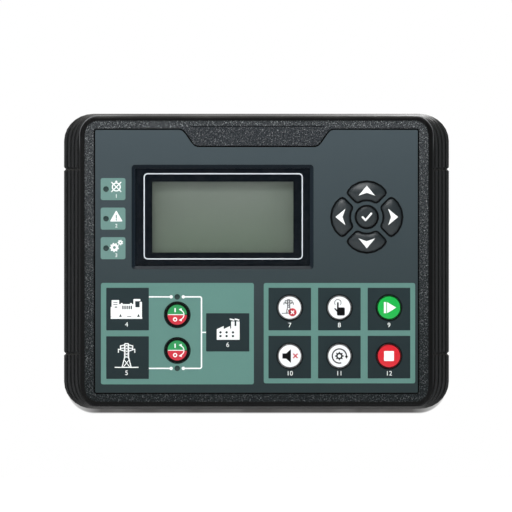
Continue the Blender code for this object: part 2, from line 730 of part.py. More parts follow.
def make_display():
    """Pane, LCD frame, glass and backlight, one behind the other."""
    bm = bmesh.new()
    stepped(bm, [window_box(-WINDOW_BEVEL - FIT, PANE_FRONT), window_box(-WINDOW_BEVEL - FIT, PANE_REAR)])
    mesh_object("display_window", bm, material("window pane", (0.01, 0.015, 0.02), 0.08))

    half_w = LCD_VIEW_WIDTH / 2 + LCD_BORDER
    half_h = LCD_VIEW_HEIGHT / 2 + LCD_BORDER
    frame_front = LEDGE_REAR + FIT
    frame_inner = frame_front + LCD_FRAME_WALL
    bm = bmesh.new()
    prism(bm, square_box(WINDOW_X, WINDOW_Z, half_w, half_h), frame_front, BOARD_FRONT - FIT)
    frame = mesh_object("lcd_frame", bm, material("plated steel", (0.55, 0.56, 0.57), 0.35, 0.9))
    inside_w = half_w - LCD_FRAME_WALL
    inside_h = half_h - LCD_FRAME_WALL
    bm = bmesh.new()
    prism(bm, square_box(WINDOW_X, WINDOW_Z, inside_w, inside_h), frame_inner, BOARD_FRONT + PAST)
    cut(frame, "cut_lcd_frame_inside", bm)
    bm = bmesh.new()
    prism(bm, square_box(WINDOW_X, WINDOW_Z, LCD_VIEW_WIDTH / 2 + LCD_FRAME_LIP,
                         LCD_VIEW_HEIGHT / 2 + LCD_FRAME_LIP), frame_front - PAST, frame_inner + PAST)
    cut(frame, "cut_lcd_frame_window", bm)

    glass_front = frame_inner + FIT
    glass_rear = glass_front + LCD_GLASS_THICKNESS
    bm = bmesh.new()
    prism(bm, square_box(WINDOW_X, WINDOW_Z, inside_w - FIT, inside_h - FIT), glass_front, glass_rear)
    mesh_object("lcd_glass", bm, material("lcd glass", (0.16, 0.19, 0.17), 0.15))
    bm = bmesh.new()
    prism(bm, square_box(WINDOW_X, WINDOW_Z, inside_w - FIT, inside_h - FIT),
          glass_rear + FIT, BOARD_FRONT - FIT)
    mesh_object("lcd_backlight", bm, material("backlight panel", (0.75, 0.77, 0.75), 0.5))


def make_keys():
    """Thirteen key caps, each with a retaining flange and a switch stem."""
    top = OVERLAY_FRONT - KEY_PROUD
    flange_front = WALL_REAR + FIT
    flange_rear = flange_front + KEY_FLANGE_THICKNESS
    stem_end = BOARD_FRONT - SWITCH_HEIGHT + SWITCH_ENTRY
    for name, (outline, (x, z)) in key_outlines().items():
        colour = KEY_COLOURS.get(name, DARK_KEY_COLOUR)
        plain = outline(0)
        stem = []
        for px, pz in plain:
            reach = math.hypot(px - x, pz - z)
            stem.append((x + (px - x) * STEM_RADIUS / reach, z + (pz - z) * STEM_RADIUS / reach))
        bm = bmesh.new()
        stepped(bm, [
            (outline(-KEY_EDGE), top),
            (plain, top + KEY_EDGE),
            (plain, flange_front),
            (outline(KEY_FLANGE), flange_front),
            (outline(KEY_FLANGE), flange_rear),
            (stem, flange_rear),
            (stem, stem_end),
        ])
        mesh_object(name, bm, material(f"{name} plastic", colour, 0.4), (x, top, z), smooth=True)


def make_lamps():
    """Light pipes that carry the board's lamps to the overlay."""
    flange_front = WALL_REAR + FIT
    flange_rear = flange_front + LAMP_FLANGE_THICKNESS
    look = material("smoked light pipe", (0.05, 0.06, 0.06), 0.2)
    for name, (x, z) in LAMPS.items():
        bm = bmesh.new()
        thin = circle(x, z, LAMP_RADIUS, LAMP_STEPS)
        wide = circle(x, z, LAMP_RADIUS + LAMP_FLANGE, LAMP_STEPS)
        stepped(bm, [(thin, OVERLAY_FRONT), (thin, flange_front), (wide, flange_front),
                     (wide, flange_rear), (thin, flange_rear), (thin, BOARD_FRONT - LED_HEIGHT - FIT)])
        mesh_object(name, bm, look, smooth=True)


def make_front_board():
    """Front circuit board with the bodies of its switches and its lamps."""
    bm = bmesh.new()
    half_w = CAVITY_HALF_W - BOARD_SIDE_GAP
    half_h = CAVITY_HALF_H - BOARD_END_GAP
    prism(bm, square_box(0, 0, half_w, half_h), BOARD_FRONT, BOARD_REAR)
    board = mesh_object("front_board", bm, material("board laminate", (0.01, 0.14, 0.05), 0.45))
    sunk = BOARD_THICKNESS / 2
    switch_top = BOARD_FRONT - SWITCH_HEIGHT
    bm = bmesh.new()
    for _, (x, z) in key_outlines().values():
        prism(bm, square_box(x, z, SWITCH_SIZE / 2, SWITCH_SIZE / 2),
              switch_top, BOARD_FRONT + sunk)
    for x, z in LAMPS.values():
        prism(bm, square_box(x, z, LED_SIZE / 2, LED_SIZE / 2),
              BOARD_FRONT - LED_HEIGHT, BOARD_FRONT + sunk)
    add(board, "add_board_parts", bm)
    bm = bmesh.new()
    for _, (x, z) in key_outlines().values():
        prism(bm, circle(x, z, STEM_RADIUS + 2 * FIT, BOSS_STEPS),
              switch_top - PAST, switch_top + SWITCH_ENTRY + KEY_TRAVEL + SWITCH_END_GAP)
    for x, z in board_screw_places():
        prism(bm, circle(x, z, SCREW_RADIUS + FIT, SCREW_STEPS), BOARD_FRONT - PAST, BOARD_REAR + PAST)
    cut(board, "cut_board_holes", bm)

    bm = bmesh.new()
    x, z = PAD_X, ROW_1_Z + ROW_PITCH
    front = BOARD_REAR + FIT
    body = circle(x, z, BUZZER_RADIUS, KEY_STEPS)
    port = circle(x, z, BUZZER_PORT_RADIUS, KEY_STEPS)
    stepped(bm, [(body, front), (body, front + BUZZER_HEIGHT), (port, front + BUZZER_HEIGHT),
                 (port, front + BUZZER_HEIGHT - BUZZER_PORT_DEPTH)])
    mesh_object("buzzer", bm, material("buzzer can", (0.02, 0.02, 0.02), 0.5), smooth=True)


def screw(name, x, z, seat, length, look):
    """A pan-head screw along Y whose head lies behind the given seat."""
    bm = bmesh.new()
    head = circle(x, z, SCREW_HEAD_RADIUS, SCREW_STEPS)
    dome = circle(x, z, SCREW_HEAD_RADIUS * 0.7, SCREW_STEPS)
    shank = circle(x, z, SCREW_RADIUS, SCREW_STEPS)
    stepped(bm, [(shank, seat - length), (shank, seat), (head, seat),
                 (head, seat + SCREW_HEAD_HEIGHT / 2), (dome, seat + SCREW_HEAD_HEIGHT)])
    mesh_object(name, bm, look, smooth=True)


def make_screws():
    """Screws of the front board and of the housing."""
    look = material("zinc-plated steel", (0.60, 0.61, 0.62), 0.35, 1.0)
    for number, (x, z) in enumerate(board_screw_places(), 1):
        screw(f"board_screw_{number}", x, z, BOARD_REAR + FIT, BOARD_SCREW_LENGTH, look)
    for number, (x, z) in enumerate(housing_screw_places(), 1):
        seat = LIP_FRONT + TUNNEL_FLOOR + FIT
        screw(f"housing_screw_{number}", x, z, seat, HOUSING_SCREW_LENGTH, look)


def make_gasket():
    """Flat ring that seals the bezel to the panel."""
    inner_w = CUTOUT_HALF_W + GASKET_SETBACK
    inner_h = CUTOUT_HALF_H + GASKET_SETBACK
    outer = rounded_box(0, 0, inner_w + GASKET_BAND, inner_h + GASKET_BAND, GASKET_CORNER + GASKET_BAND)
    inner = rounded_box(0, 0, inner_w, inner_h, GASKET_CORNER)
    bm = bmesh.new()
    rings = [[bm.verts.new(point) for point in at_depth(outline, y)]
             for outline, y in ((outer, -GASKET_THICKNESS), (outer, 0), (inner, 0), (inner, -GASKET_THICKNESS))]
    count = len(outer)
    for ring, following in zip(rings, rings[1:] + rings[:1]):
        for i in range(count):
            j = (i + 1) % count
            bm.faces.new((ring[i], following[i], following[j], ring[j]))
    mesh_object("panel_gasket", bm, material("gasket rubber", (0.02, 0.02, 0.02), 0.85))


def plug_size():
    """Width of a terminal plug."""
    return TERMINAL_WAYS * TERMINAL_PITCH + 2 * HEADER_WALL


def terminal_places():
    """Number, X, Z and outward direction of each terminal row's plugs."""
    pitch = plug_size() + TERMINAL_GAP
    row_z = HOUSING_HALF_H - TERMINAL_INSET
    places = []
    for row, end in enumerate((1, -1)):
        for column in (-1, 0, 1):
            places.append((row * 3 + column + 2, column * pitch, end * row_z, end))
    return places


def clip_places():
    """Side and Z of each mounting clip."""
    return [(side, end * CLIP_SPACING / 2) for side in (-1, 1) for end in (-1, 1)]


def post_places():
    """Where the posts of the rear board stand."""
    return corners(HOUSING_HALF_W - POST_INSET_X, HOUSING_HALF_H - POST_INSET_Z)


def make_housing():
    """Rear housing: a stepped shell with shelves, tunnels, posts and vents."""
    core_half_h = HOUSING_HALF_H - SHELF_WIDTH
    overlap = 2 * HOUSING_WALL
    bm = bmesh.new()
    prism(bm, rounded_box(0, 0, HOUSING_HALF_W, HOUSING_HALF_H, HOUSING_CORNER), LIP_FRONT, SHELF_DEPTH)
    housing = mesh_object("rear_housing", bm, material("housing plastic", (0.03, 0.03, 0.032), 0.55))
    bm = bmesh.new()
    prism(bm, rounded_box(0, 0, HOUSING_HALF_W - FIT, core_half_h, HOUSING_CORNER),
          SHELF_DEPTH - overlap, HOUSING_DEPTH)
    add(housing, "add_housing_core", bm)

    inner_w = HOUSING_HALF_W - HOUSING_WALL
    inner_h = HOUSING_HALF_H - HOUSING_WALL
    inner_corner = HOUSING_CORNER - HOUSING_WALL
    bm = bmesh.new()
    prism(bm, rounded_box(0, 0, inner_w, inner_h, inner_corner), LIP_FRONT - PAST, SHELF_DEPTH - HOUSING_WALL)
    cut(housing, "cut_housing_inside", bm)
    bm = bmesh.new()
    prism(bm, rounded_box(0, 0, inner_w - FIT, core_half_h - HOUSING_WALL, inner_corner),
          SHELF_DEPTH - overlap, HOUSING_DEPTH - HOUSING_WALL)
    cut(housing, "cut_housing_core", bm)

    bm = bmesh.new()
    for x, z in housing_screw_places():
        prism(bm, circle(x, z, TUNNEL_RADIUS, TUNNEL_STEPS), LIP_FRONT, SHELF_DEPTH - HOUSING_WALL / 2)
    for x, z in post_places():
        pin = circle(x, z, POST_PIN_RADIUS, BOSS_STEPS)
        post = circle(x, z, POST_RADIUS, BOSS_STEPS)
        stepped(bm, [(pin, IO_BOARD_REAR - POST_PIN_LENGTH), (pin, IO_BOARD_REAR + FIT),
                     (post, IO_BOARD_REAR + FIT), (post, SHELF_DEPTH - HOUSING_WALL / 2)])
    add(housing, "add_housing_tunnels", bm)
    bm = bmesh.new()
    for x, z in housing_screw_places():
        stepped(bm, [(circle(x, z, SCREW_RADIUS + FIT, SCREW_STEPS), LIP_FRONT - PAST),
                     (circle(x, z, SCREW_RADIUS + FIT, SCREW_STEPS), LIP_FRONT + TUNNEL_FLOOR),
                     (circle(x, z, SCREW_HEAD_RADIUS + 2 * FIT, SCREW_STEPS), LIP_FRONT + TUNNEL_FLOOR),
                     (circle(x, z, SCREW_HEAD_RADIUS + 2 * FIT, SCREW_STEPS), SHELF_DEPTH + PAST)])
    cut(housing, "cut_housing_tunnels", bm)

    bm = bmesh.new()
    half = plug_size() / 2 + HEADER_WALL + 2 * FIT
    for _, x, z, _ in terminal_places():
        prism(bm, square_box(x, z, half, HEADER_DEPTH_Z / 2 + FIT),
              SHELF_DEPTH - 2 * HOUSING_WALL, SHELF_DEPTH + PAST)
    prism(bm, square_box(0, 0, USB_WIDTH / 2 + FIT, USB_HEIGHT / 2 + FIT),
          HOUSING_DEPTH - 2 * HOUSING_WALL, HOUSING_DEPTH + PAST)
    for side in (-1, 1):
        for i in range(VENT_COUNT):
            x = side * VENT_OFFSET + (i - (VENT_COUNT - 1) / 2) * VENT_PITCH
            prism(bm, square_box(x, 0, VENT_WIDTH / 2, VENT_LENGTH / 2),
                  HOUSING_DEPTH - 2 * HOUSING_WALL, HOUSING_DEPTH + PAST)
    cut(housing, "cut_housing_openings", bm)

    bm = bmesh.new()
    slot_rear = CLIP_ARM_DEPTH - HOOK_SETBACK + FIT
    slot_front = slot_rear - HOOK_NECK - HOOK_TAIL - 2 * FIT
    for side, z in clip_places():
        x = side * HOUSING_HALF_W
        block(bm, (x - 2 * HOUSING_WALL, slot_front, z - HOOK_WIDTH / 2 - FIT),
              (x + 2 * HOUSING_WALL, slot_rear, z + HOOK_WIDTH / 2 + FIT))
    cut(housing, "cut_clip_slots", bm)


def make_clips():
    """Side clips: a hooked bracket and the screw that presses on the panel."""
    steel = material("clip steel", (0.55, 0.56, 0.57), 0.4, 1.0)
    screw_look = material("clip screw steel", (0.62, 0.60, 0.52), 0.35, 1.0)
    wall_x = HOUSING_HALF_W + FIT
    neck_rear = CLIP_ARM_DEPTH - HOOK_SETBACK
    inside_x = HOUSING_HALF_W - HOUSING_WALL - FIT
    for number, (side, z) in enumerate(clip_places(), 1):
        def x_sorted(a, b):
            return min(side * a, side * b), max(side * a, side * b)

        bm = bmesh.new()
        half = CLIP_WIDTH / 2
        profile = [(wall_x, CLIP_ARM_DEPTH - CLIP_LEG), (wall_x, CLIP_ARM_DEPTH),
                   (wall_x + CLIP_ARM_REACH, CLIP_ARM_DEPTH),
                   (wall_x + CLIP_ARM_REACH, CLIP_ARM_DEPTH - CLIP_ARM_THICKNESS),
                   (wall_x + CLIP_PLATE, CLIP_ARM_DEPTH - CLIP_ARM_THICKNESS),
                   (wall_x + CLIP_PLATE, CLIP_ARM_DEPTH - CLIP_LEG)]
        loft(bm, [[(side * x, y, level) for x, y in profile] for level in (z - half, z + half)])
        clip = mesh_object(f"mounting_clip_{number}", bm, steel)
        bm = bmesh.new()
        low, high = x_sorted(inside_x - HOOK_THICKNESS / 2, wall_x + CLIP_PLATE / 2)
        block(bm, (low, neck_rear - HOOK_NECK, z - HOOK_WIDTH / 2), (high, neck_rear, z + HOOK_WIDTH / 2))
        add(clip, f"add_hook_neck_{number}", bm)
        bm = bmesh.new()
        low, high = x_sorted(inside_x - HOOK_THICKNESS, inside_x)
        block(bm, (low, neck_rear - HOOK_NECK, z - HOOK_WIDTH / 2 + FIT),
              (high, neck_rear + HOOK_TAIL, z + HOOK_WIDTH / 2 - FIT))
        add(clip, f"add_hook_tail_{number}", bm)
        axis_x = side * (HOUSING_HALF_W + CLIP_SCREW_X)
        bm = bmesh.new()
        prism(bm, circle(axis_x, z, CLIP_SCREW_RADIUS + FIT, SCREW_STEPS),
              CLIP_ARM_DEPTH - CLIP_ARM_THICKNESS - PAST, CLIP_ARM_DEPTH + PAST)
        cut(clip, f"cut_clip_hole_{number}", bm)

        bm = bmesh.new()
        foot = circle(axis_x, z, CLIP_FOOT_RADIUS, SCREW_STEPS)
        shank = circle(axis_x, z, CLIP_SCREW_RADIUS, SCREW_STEPS)
        knob = circle(axis_x, z, CLIP_KNOB_RADIUS, SCREW_STEPS)
        foot_rear = CLIP_PANEL_GAP + CLIP_FOOT_HEIGHT
        knob_front = CLIP_ARM_DEPTH + FIT
        stepped(bm, [(foot, CLIP_PANEL_GAP), (foot, foot_rear), (shank, foot_rear),
                     (shank, knob_front), (knob, knob_front), (knob, knob_front + CLIP_KNOB_HEIGHT)])
        mesh_object(f"clip_screw_{number}", bm, screw_look, smooth=True)


def make_rear_board():
    """Rear circuit board, the link to the front board and the USB socket."""
    bm = bmesh.new()
    half_w = HOUSING_HALF_W - IO_BOARD_SIDE_GAP
    half_h = HOUSING_HALF_H - IO_BOARD_END_GAP
    prism(bm, square_box(0, 0, half_w, half_h), IO_BOARD_DEPTH, IO_BOARD_REAR)
    board = mesh_object("io_board", bm, material("io board laminate", (0.01, 0.12, 0.05), 0.45))
    bm = bmesh.new()
    for x, z in post_places():
        prism(bm, circle(x, z, POST_PIN_RADIUS + FIT, BOSS_STEPS), IO_BOARD_DEPTH - PAST, IO_BOARD_REAR + PAST)
    cut(board, "cut_io_board_holes", bm)

    bm = bmesh.new()
    front = BOARD_REAR + FIT
    rear = IO_BOARD_DEPTH - FIT
    third = (rear - front) / 3
    wide = square_box(0, -LINK_DROP, LINK_WIDTH / 2, LINK_DEPTH / 2)
    slim = square_box(0, -LINK_DROP, LINK_WIDTH / 2 - LINK_WAIST, LINK_DEPTH / 2 - LINK_WAIST)
    stepped(bm, [(wide, front), (wide, front + third), (slim, front + third),
                 (slim, rear - third), (wide, rear - third), (wide, rear)])
    mesh_object("board_link", bm, material("connector plastic", (0.02, 0.02, 0.02), 0.5))

    bm = bmesh.new()
    front = IO_BOARD_REAR + FIT
    rear = HOUSING_DEPTH + USB_PROUD
    outside = square_box(0, 0, USB_WIDTH / 2, USB_HEIGHT / 2)
    mouth = square_box(0, 0, USB_WIDTH / 2 - USB_WALL, USB_HEIGHT / 2 - USB_WALL)
    tongue = square_box(0, 0, USB_TONGUE_WIDTH / 2, USB_TONGUE_HEIGHT / 2)
    stepped(bm, [(outside, front), (outside, rear), (mouth, rear), (mouth, rear - USB_MOUTH_DEPTH),
                 (tongue, rear - USB_MOUTH_DEPTH), (tongue, rear - USB_WALL)])
    mesh_object("usb_port", bm, material("usb shell", (0.60, 0.61, 0.62), 0.3, 0.9))


def make_terminals():
    """Board headers and the pluggable terminal blocks that stand in them."""
    header_look = material("header plastic", (0.03, 0.24, 0.10), 0.5)
    plug_look = material("plug plastic", (0.03, 0.28, 0.11), 0.45)
    width = plug_size()
    rim = SHELF_DEPTH + HEADER_PROUD
    for number, x, z, end in terminal_places():
        bm = bmesh.new()
        outside = square_box(x, z, width / 2 + HEADER_WALL + FIT, HEADER_DEPTH_Z / 2)
        inside = square_box(x, z, width / 2 + FIT, HEADER_DEPTH_Z / 2 - HEADER_WALL)
        floor = IO_BOARD_REAR + FIT + HEADER_FLOOR
        stepped(bm, [(outside, IO_BOARD_REAR + FIT), (outside, rim), (inside, rim), (inside, floor)])
        mesh_object(f"terminal_header_{number}", bm, header_look)

        bm = bmesh.new()
        root_half = HEADER_DEPTH_Z / 2 - HEADER_WALL - FIT
        body_half = (HEADER_DEPTH_Z + PLUG_OVERHANG) / 2
        body_z = z + end * PLUG_OVERHANG / 2
        crest = rim + FIT + PLUG_HEIGHT
        root = square_box(x, z, width / 2 - FIT, root_half)
        stepped(bm, [(root, floor + FIT), (root, rim + FIT),
                     (square_box(x, body_z, width / 2, body_half), rim + FIT),
                     (square_box(x, body_z, width / 2, body_half), crest)])
        plug = mesh_object(f"terminal_plug_{number}", bm, plug_look)
        bm = bmesh.new()
        outer_z = body_z + end * body_half
        wire_y = rim + FIT + PLUG_HEIGHT * 0.45
        for way in range(TERMINAL_WAYS):
            way_x = x + (way - (TERMINAL_WAYS - 1) / 2) * TERMINAL_PITCH
            far = outer_z + end * PAST
            deep = outer_z - end * WIRE_HOLE_DEPTH
            half = WIRE_HOLE / 2
            block(bm, (way_x - half, wire_y - half, min(far, deep)),
                  (way_x + half, wire_y + half, max(far, deep)))
            prism(bm, square_box(way_x, body_z, WELL_SIZE / 2, WELL_SIZE / 2), crest - WELL_DEPTH, crest + PAST)
        cut(plug, f"cut_plug_holes_{number}", bm)


def main():
    """Builds every piece of the controller."""
    clear_scene()
    make_bezel()
    make_overlay()
    make_display()
    make_keys()
    make_lamps()
    make_front_board()
    make_screws()
    make_gasket()
    make_housing()
    make_clips()
    make_rear_board()
    make_terminals()


main()
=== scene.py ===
"""Looks of a panel-mounted genset controller.

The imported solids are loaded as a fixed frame. The printed film, the key caps
and the screws are dressed with round outlines and print, and every surface
gets its finish here. The front faces -Y, +Z is up, and sizes are in metres.
"""
import logging
import math
from dataclasses import dataclass
from enum import Enum
from functools import partial, reduce
from typing import ClassVar, Sequence

import bmesh
import bpy
from mathutils import Matrix, Vector


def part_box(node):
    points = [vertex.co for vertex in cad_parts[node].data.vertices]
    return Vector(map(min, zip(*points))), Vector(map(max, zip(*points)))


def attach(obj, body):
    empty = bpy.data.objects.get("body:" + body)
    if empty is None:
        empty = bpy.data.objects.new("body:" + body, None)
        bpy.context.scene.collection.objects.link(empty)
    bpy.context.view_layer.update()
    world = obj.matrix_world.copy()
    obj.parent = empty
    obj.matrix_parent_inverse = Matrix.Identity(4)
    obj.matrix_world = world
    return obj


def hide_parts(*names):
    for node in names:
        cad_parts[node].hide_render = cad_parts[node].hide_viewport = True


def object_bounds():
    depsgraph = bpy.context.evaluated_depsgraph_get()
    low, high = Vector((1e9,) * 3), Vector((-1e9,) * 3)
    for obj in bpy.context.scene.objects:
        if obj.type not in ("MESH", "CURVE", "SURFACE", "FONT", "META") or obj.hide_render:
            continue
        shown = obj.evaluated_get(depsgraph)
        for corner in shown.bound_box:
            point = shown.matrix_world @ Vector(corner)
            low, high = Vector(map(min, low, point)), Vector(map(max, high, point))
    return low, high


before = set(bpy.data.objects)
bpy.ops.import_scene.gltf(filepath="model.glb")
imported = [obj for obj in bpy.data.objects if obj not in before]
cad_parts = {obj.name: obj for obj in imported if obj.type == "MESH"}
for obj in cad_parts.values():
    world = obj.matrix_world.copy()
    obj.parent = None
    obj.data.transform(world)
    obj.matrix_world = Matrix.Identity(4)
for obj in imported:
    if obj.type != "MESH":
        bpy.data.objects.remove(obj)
CAD_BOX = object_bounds()

LOG = logging.getLogger("controller")
MM = 0.001
NEAR = 1e-6                                     # corners closer than this count as one
HOUSE = "controller"                            # the body that every fixed piece rides on
FACE_ON = Matrix.Rotation(math.pi / 2, 4, "X")  # stands a flat drawing up, towards the viewer
INK = 0.02 * MM                                 # thickness of one layer of print
LIFT = 0.0003 * MM                              # step that keeps the shapes of one layer apart
ROUND = 64                                      # steps of a full circle in print and caps
KEY_SKIRT = -16.6 * MM                          # Y behind which a key cap lies in its hole
KEY_GAP = 0.6 * MM                              # between a round key and its hole
FLANGE = 0.9 * MM                               # how far a key's flange stands out behind the film

Colour = tuple[float, float, float, float]
Point = tuple[float, float]
Box = tuple[float, float, float, float]         # centre along X and Z, then two sizes
Shape = bmesh.types.BMesh
Material = bpy.types.Material
Node = bpy.types.Node
Socket = bpy.types.NodeSocket


def srgb(red: int, green: int, blue: int) -> Colour:
    """Turns screen values from 0 to 255 into a linear colour.

    Args:
        red: Red on the screen.
        green: Green on the screen.
        blue: Blue on the screen.

    Returns:
        The linear colour with full alpha.
    """
    shares = [value / 255 for value in (red, green, blue)]
    return (*(share / 12.92 if share <= 0.04045 else ((share + 0.055) / 1.055) ** 2.4
              for share in shares), 1.0)


BLACK: Colour = (0.0, 0.0, 0.0, 1.0)
WHITE: Colour = (1.0, 1.0, 1.0, 1.0)
DUST_GREY = srgb(150, 148, 142)


class Wiring:
    """Adds nodes to one node tree and joins them."""

    def __init__(self, tree: bpy.types.NodeTree) -> None:
        """Keeps the tree and empties it."""
        self.tree = tree
        tree.nodes.clear()

    def feed(self, node: Node, inputs: dict) -> None:
        """Sets inputs of a node.

        Args:
            node: The node.
            inputs: Values or sockets, by the input's name or number.
        """
        for key, value in inputs.items():
            if isinstance(value, Socket):
                self.tree.links.new(value, node.inputs[key])
            else:
                node.inputs[key].default_value = value

    def node(self, kind: str, inputs: dict | None = None, **settings: object) -> Node:
        """Adds one node.

        Args:
            kind: The end of the node's type name.
            inputs: Values or sockets for its inputs, by name or number.
            **settings: The node's own options.

        Returns:
            The new node.
        """
        made = self.tree.nodes.new(kind if kind.startswith("Node") else "ShaderNode" + kind)
        for key, value in settings.items():
            setattr(made, key, value)
        self.feed(made, inputs or {})
        return made

    def math(self, operation: str, first: object, second: object = 0.0) -> Socket:
        """One Math node's result."""
        return self.node("Math", {0: first, 1: second}, operation=operation).outputs[0]

    def times(self, *values: object) -> Socket:
        """The product of two or more values."""
        return reduce(partial(self.math, "MULTIPLY"), values)

    def plus(self, first: object, second: object) -> Socket:
        """The sum of two values."""
        return self.math("ADD", first, second)

    def minus(self, first: object, second: object) -> Socket:
        """The difference of two values."""
        return self.math("SUBTRACT", first, second)

    def size(self, value: Socket) -> Socket:
        """A value without its sign."""
        return self.math("ABSOLUTE", value)

    def ramp(self, value: Socket, low: float, high: float, to_low: float = 0.0,
             to_high: float = 1.0) -> Socket:
        """Maps the values from low to high onto another range, and clamps them."""
        return self.node("MapRange", {0: value, 1: low, 2: high, 3: to_low, 4: to_high}).outputs[0]

    def mix(self, share: object, first: object, second: object) -> Socket:
        """Mixes two colours by a share from 0 to 1."""
        return self.node("Mix", {0: share, 6: first, 7: second}, data_type="RGBA").outputs[2]

    def noise(self, vector: Socket, scale: object, detail: float = 2.0) -> Socket:
        """The value of a noise texture, from 0 to 1."""
        inputs = {"Vector": vector, "Scale": scale, "Detail": detail}
        return self.node("TexNoise", inputs).outputs[0]

    def split(self, vector: Socket) -> list[Socket]:
        """The three parts of a vector."""
        return list(self.node("SeparateXYZ", {0: vector}).outputs)

    def place(self) -> Socket:
        """The point in the object's own coordinates."""
        return self.node("TexCoord").outputs["Object"]

    def around(self, place: Socket, centre: Point) -> tuple[Socket, Socket]:
        """How far along X and Z a point lies from a centre."""
        from_there = {"Vector": place, "Location": (-centre[0], 0.0, -centre[1])}
        return tuple(self.split(self.node("Mapping", from_there).outputs[0])[::2])

    def normal(self) -> list[Socket]:
        """The three parts of the surface's direction."""
        return self.split(self.node("NewGeometry").outputs["Normal"])

    def outside(self, x: Socket, z: Socket, half: Point) -> Socket:
        """How far a point lies outside a rectangle round the origin.

        Args:
            x: The point's place along X.
            z: Its place along Z.
            half: Half the rectangle's width and height.

        Returns:
            The distance in metres.
        """
        past = [self.math("MAXIMUM", self.minus(self.size(value), limit), 0.0)
                for value, limit in zip((x, z), half)]
        return self.math("SQRT", self.plus(*(self.math("POWER", side, 2.0) for side in past)))

    def end(self, shader: Node, kind: str = "Material") -> None:
        """Joins a shader to the tree's output."""
        self.node("Output" + kind, {"Surface": shader.outputs[0]})


class Effect(Enum):
    """The shared surface effects, each a node group."""

    GRAIN = "moulded grain"
    EDGES = "softened edges"
    DUST = "settled dust"
    BRUSH = "brushed lines"


def open_group(effect: Effect, inputs: dict[str, object],
               outputs: Sequence[str]) -> tuple[Wiring, list[Socket], Node]:
    """Starts an effect's node group and gives it its sockets.

    Args:
        effect: Which effect it is.
        inputs: Names of its inputs, with a default value or None for a vector.
        outputs: Names of its outputs; Normal is a vector and the rest are values.

    Returns:
        The wiring of the group, the sockets of its inputs and its output node.
    """
    tree = bpy.data.node_groups.new(effect.value, "ShaderNodeTree")
    wiring = Wiring(tree)
    for name, default in inputs.items():
        kind = "NodeSocketVector" if default is None else "NodeSocketFloat"
        socket = tree.interface.new_socket(name, in_out="INPUT", socket_type=kind)
        if default is not None:
            socket.default_value = default
    for name in outputs:
        kind = "NodeSocketVector" if name == "Normal" else "NodeSocketFloat"
        tree.interface.new_socket(name, in_out="OUTPUT", socket_type=kind)
    return wiring, list(wiring.node("NodeGroupInput").outputs), wiring.node("NodeGroupOutput")


def build_grain() -> None:
    """Makes the group for the fine texture of a moulding tool."""
    wiring, (vector, scale, *_), sink = open_group(
        Effect.GRAIN, {"Vector": None, "Scale": 900.0}, ("Mask", "Height"))
    coarse = wiring.noise(vector, scale, 2.0)
    fine = wiring.noise(vector, wiring.times(scale, 2.7), 3.0)
    cells = wiring.node("TexVoronoi", {"Vector": vector, "Scale": wiring.times(scale, 1.9)})
    pits = wiring.ramp(cells.outputs[0], 0.0, 0.45, 1.0, 0.0)
    blend = wiring.plus(wiring.times(coarse, 0.45), wiring.times(fine, 0.55))
    relief = wiring.minus(blend, wiring.times(pits, 0.35))
    wiring.feed(sink, {"Mask": wiring.ramp(blend, 0.36, 0.64), "Height": relief})


def build_edges() -> None:
    """Makes the group that rounds the light on edges and finds them."""
    wiring, (radius, *_), sink = open_group(Effect.EDGES, {"Radius": 0.0002}, ("Normal", "Mask"))
    rounded = wiring.node("Bevel", {"Radius": radius}, samples=5).outputs[0]
    flat = wiring.node("NewGeometry").outputs["Normal"]
    facing = wiring.node("VectorMath", {0: rounded, 1: flat}, operation="DOT_PRODUCT")
    wiring.feed(sink, {"Normal": rounded, "Mask": wiring.ramp(facing.outputs["Value"], 0.98, 0.80)})


def build_dust() -> None:
    """Makes the group for fine dust, thicker where a surface faces up."""
    wiring, (vector, amount, *_), sink = open_group(
        Effect.DUST, {"Vector": None, "Amount": 0.1}, ("Mask",))
    cloud = wiring.ramp(wiring.noise(vector, 45.0, 3.0), 0.35, 0.75)
    specks = wiring.ramp(wiring.noise(vector, 5200.0, 1.0), 0.66, 0.74)
    lying = wiring.times(wiring.ramp(wiring.normal()[2], 0.2, 1.0), wiring.plus(cloud, 0.4))
    loose = wiring.times(specks, wiring.plus(cloud, 0.25))
    total = wiring.times(wiring.plus(lying, loose), amount)
    wiring.feed(sink, {"Mask": wiring.math("MINIMUM", total, 1.0)})


def build_brush() -> None:
    """Makes the group for the fine lines of rolled or plated metal."""
    wiring, (vector, scale, *_), sink = open_group(
        Effect.BRUSH, {"Vector": None, "Scale": 400.0}, ("Mask", "Height"))
    drawn = wiring.node("Mapping", {"Vector": vector, "Scale": (1.0, 1.0, 0.04)}).outputs[0]
    lines = wiring.noise(drawn, scale, 4.0)
    stains = wiring.noise(vector, 160.0, 3.0)
    blend = wiring.plus(wiring.times(lines, 0.6), wiring.times(stains, 0.4))
    wiring.feed(sink, {"Mask": wiring.ramp(blend, 0.35, 0.65), "Height": lines})


BUILDERS = {Effect.GRAIN: build_grain, Effect.EDGES: build_edges,
            Effect.DUST: build_dust, Effect.BRUSH: build_brush}


def apply_effect(wiring: Wiring, effect: Effect, **values: object) -> bpy.types.NodeOutputs:
    """Places an effect's group in a material, and builds the group the first time.

    Args:
        wiring: The material's wiring.
        effect: Which effect it is.
        **values: Values or sockets for its inputs.

    Returns:
        The group's outputs.
    """
    if effect.value not in bpy.data.node_groups:
        BUILDERS[effect]()
    tree = bpy.data.node_groups[effect.value]
    return wiring.node("Group", values, node_tree=tree).outputs


def open_material(name: str) -> tuple[Material, Wiring]:
    """Starts a material with an empty node tree.

    Args:
        name: The material's name.

    Returns:
        The material and its wiring.
    """
    made = bpy.data.materials.new(name)
    made.use_nodes = True
    return made, Wiring(made.node_tree)


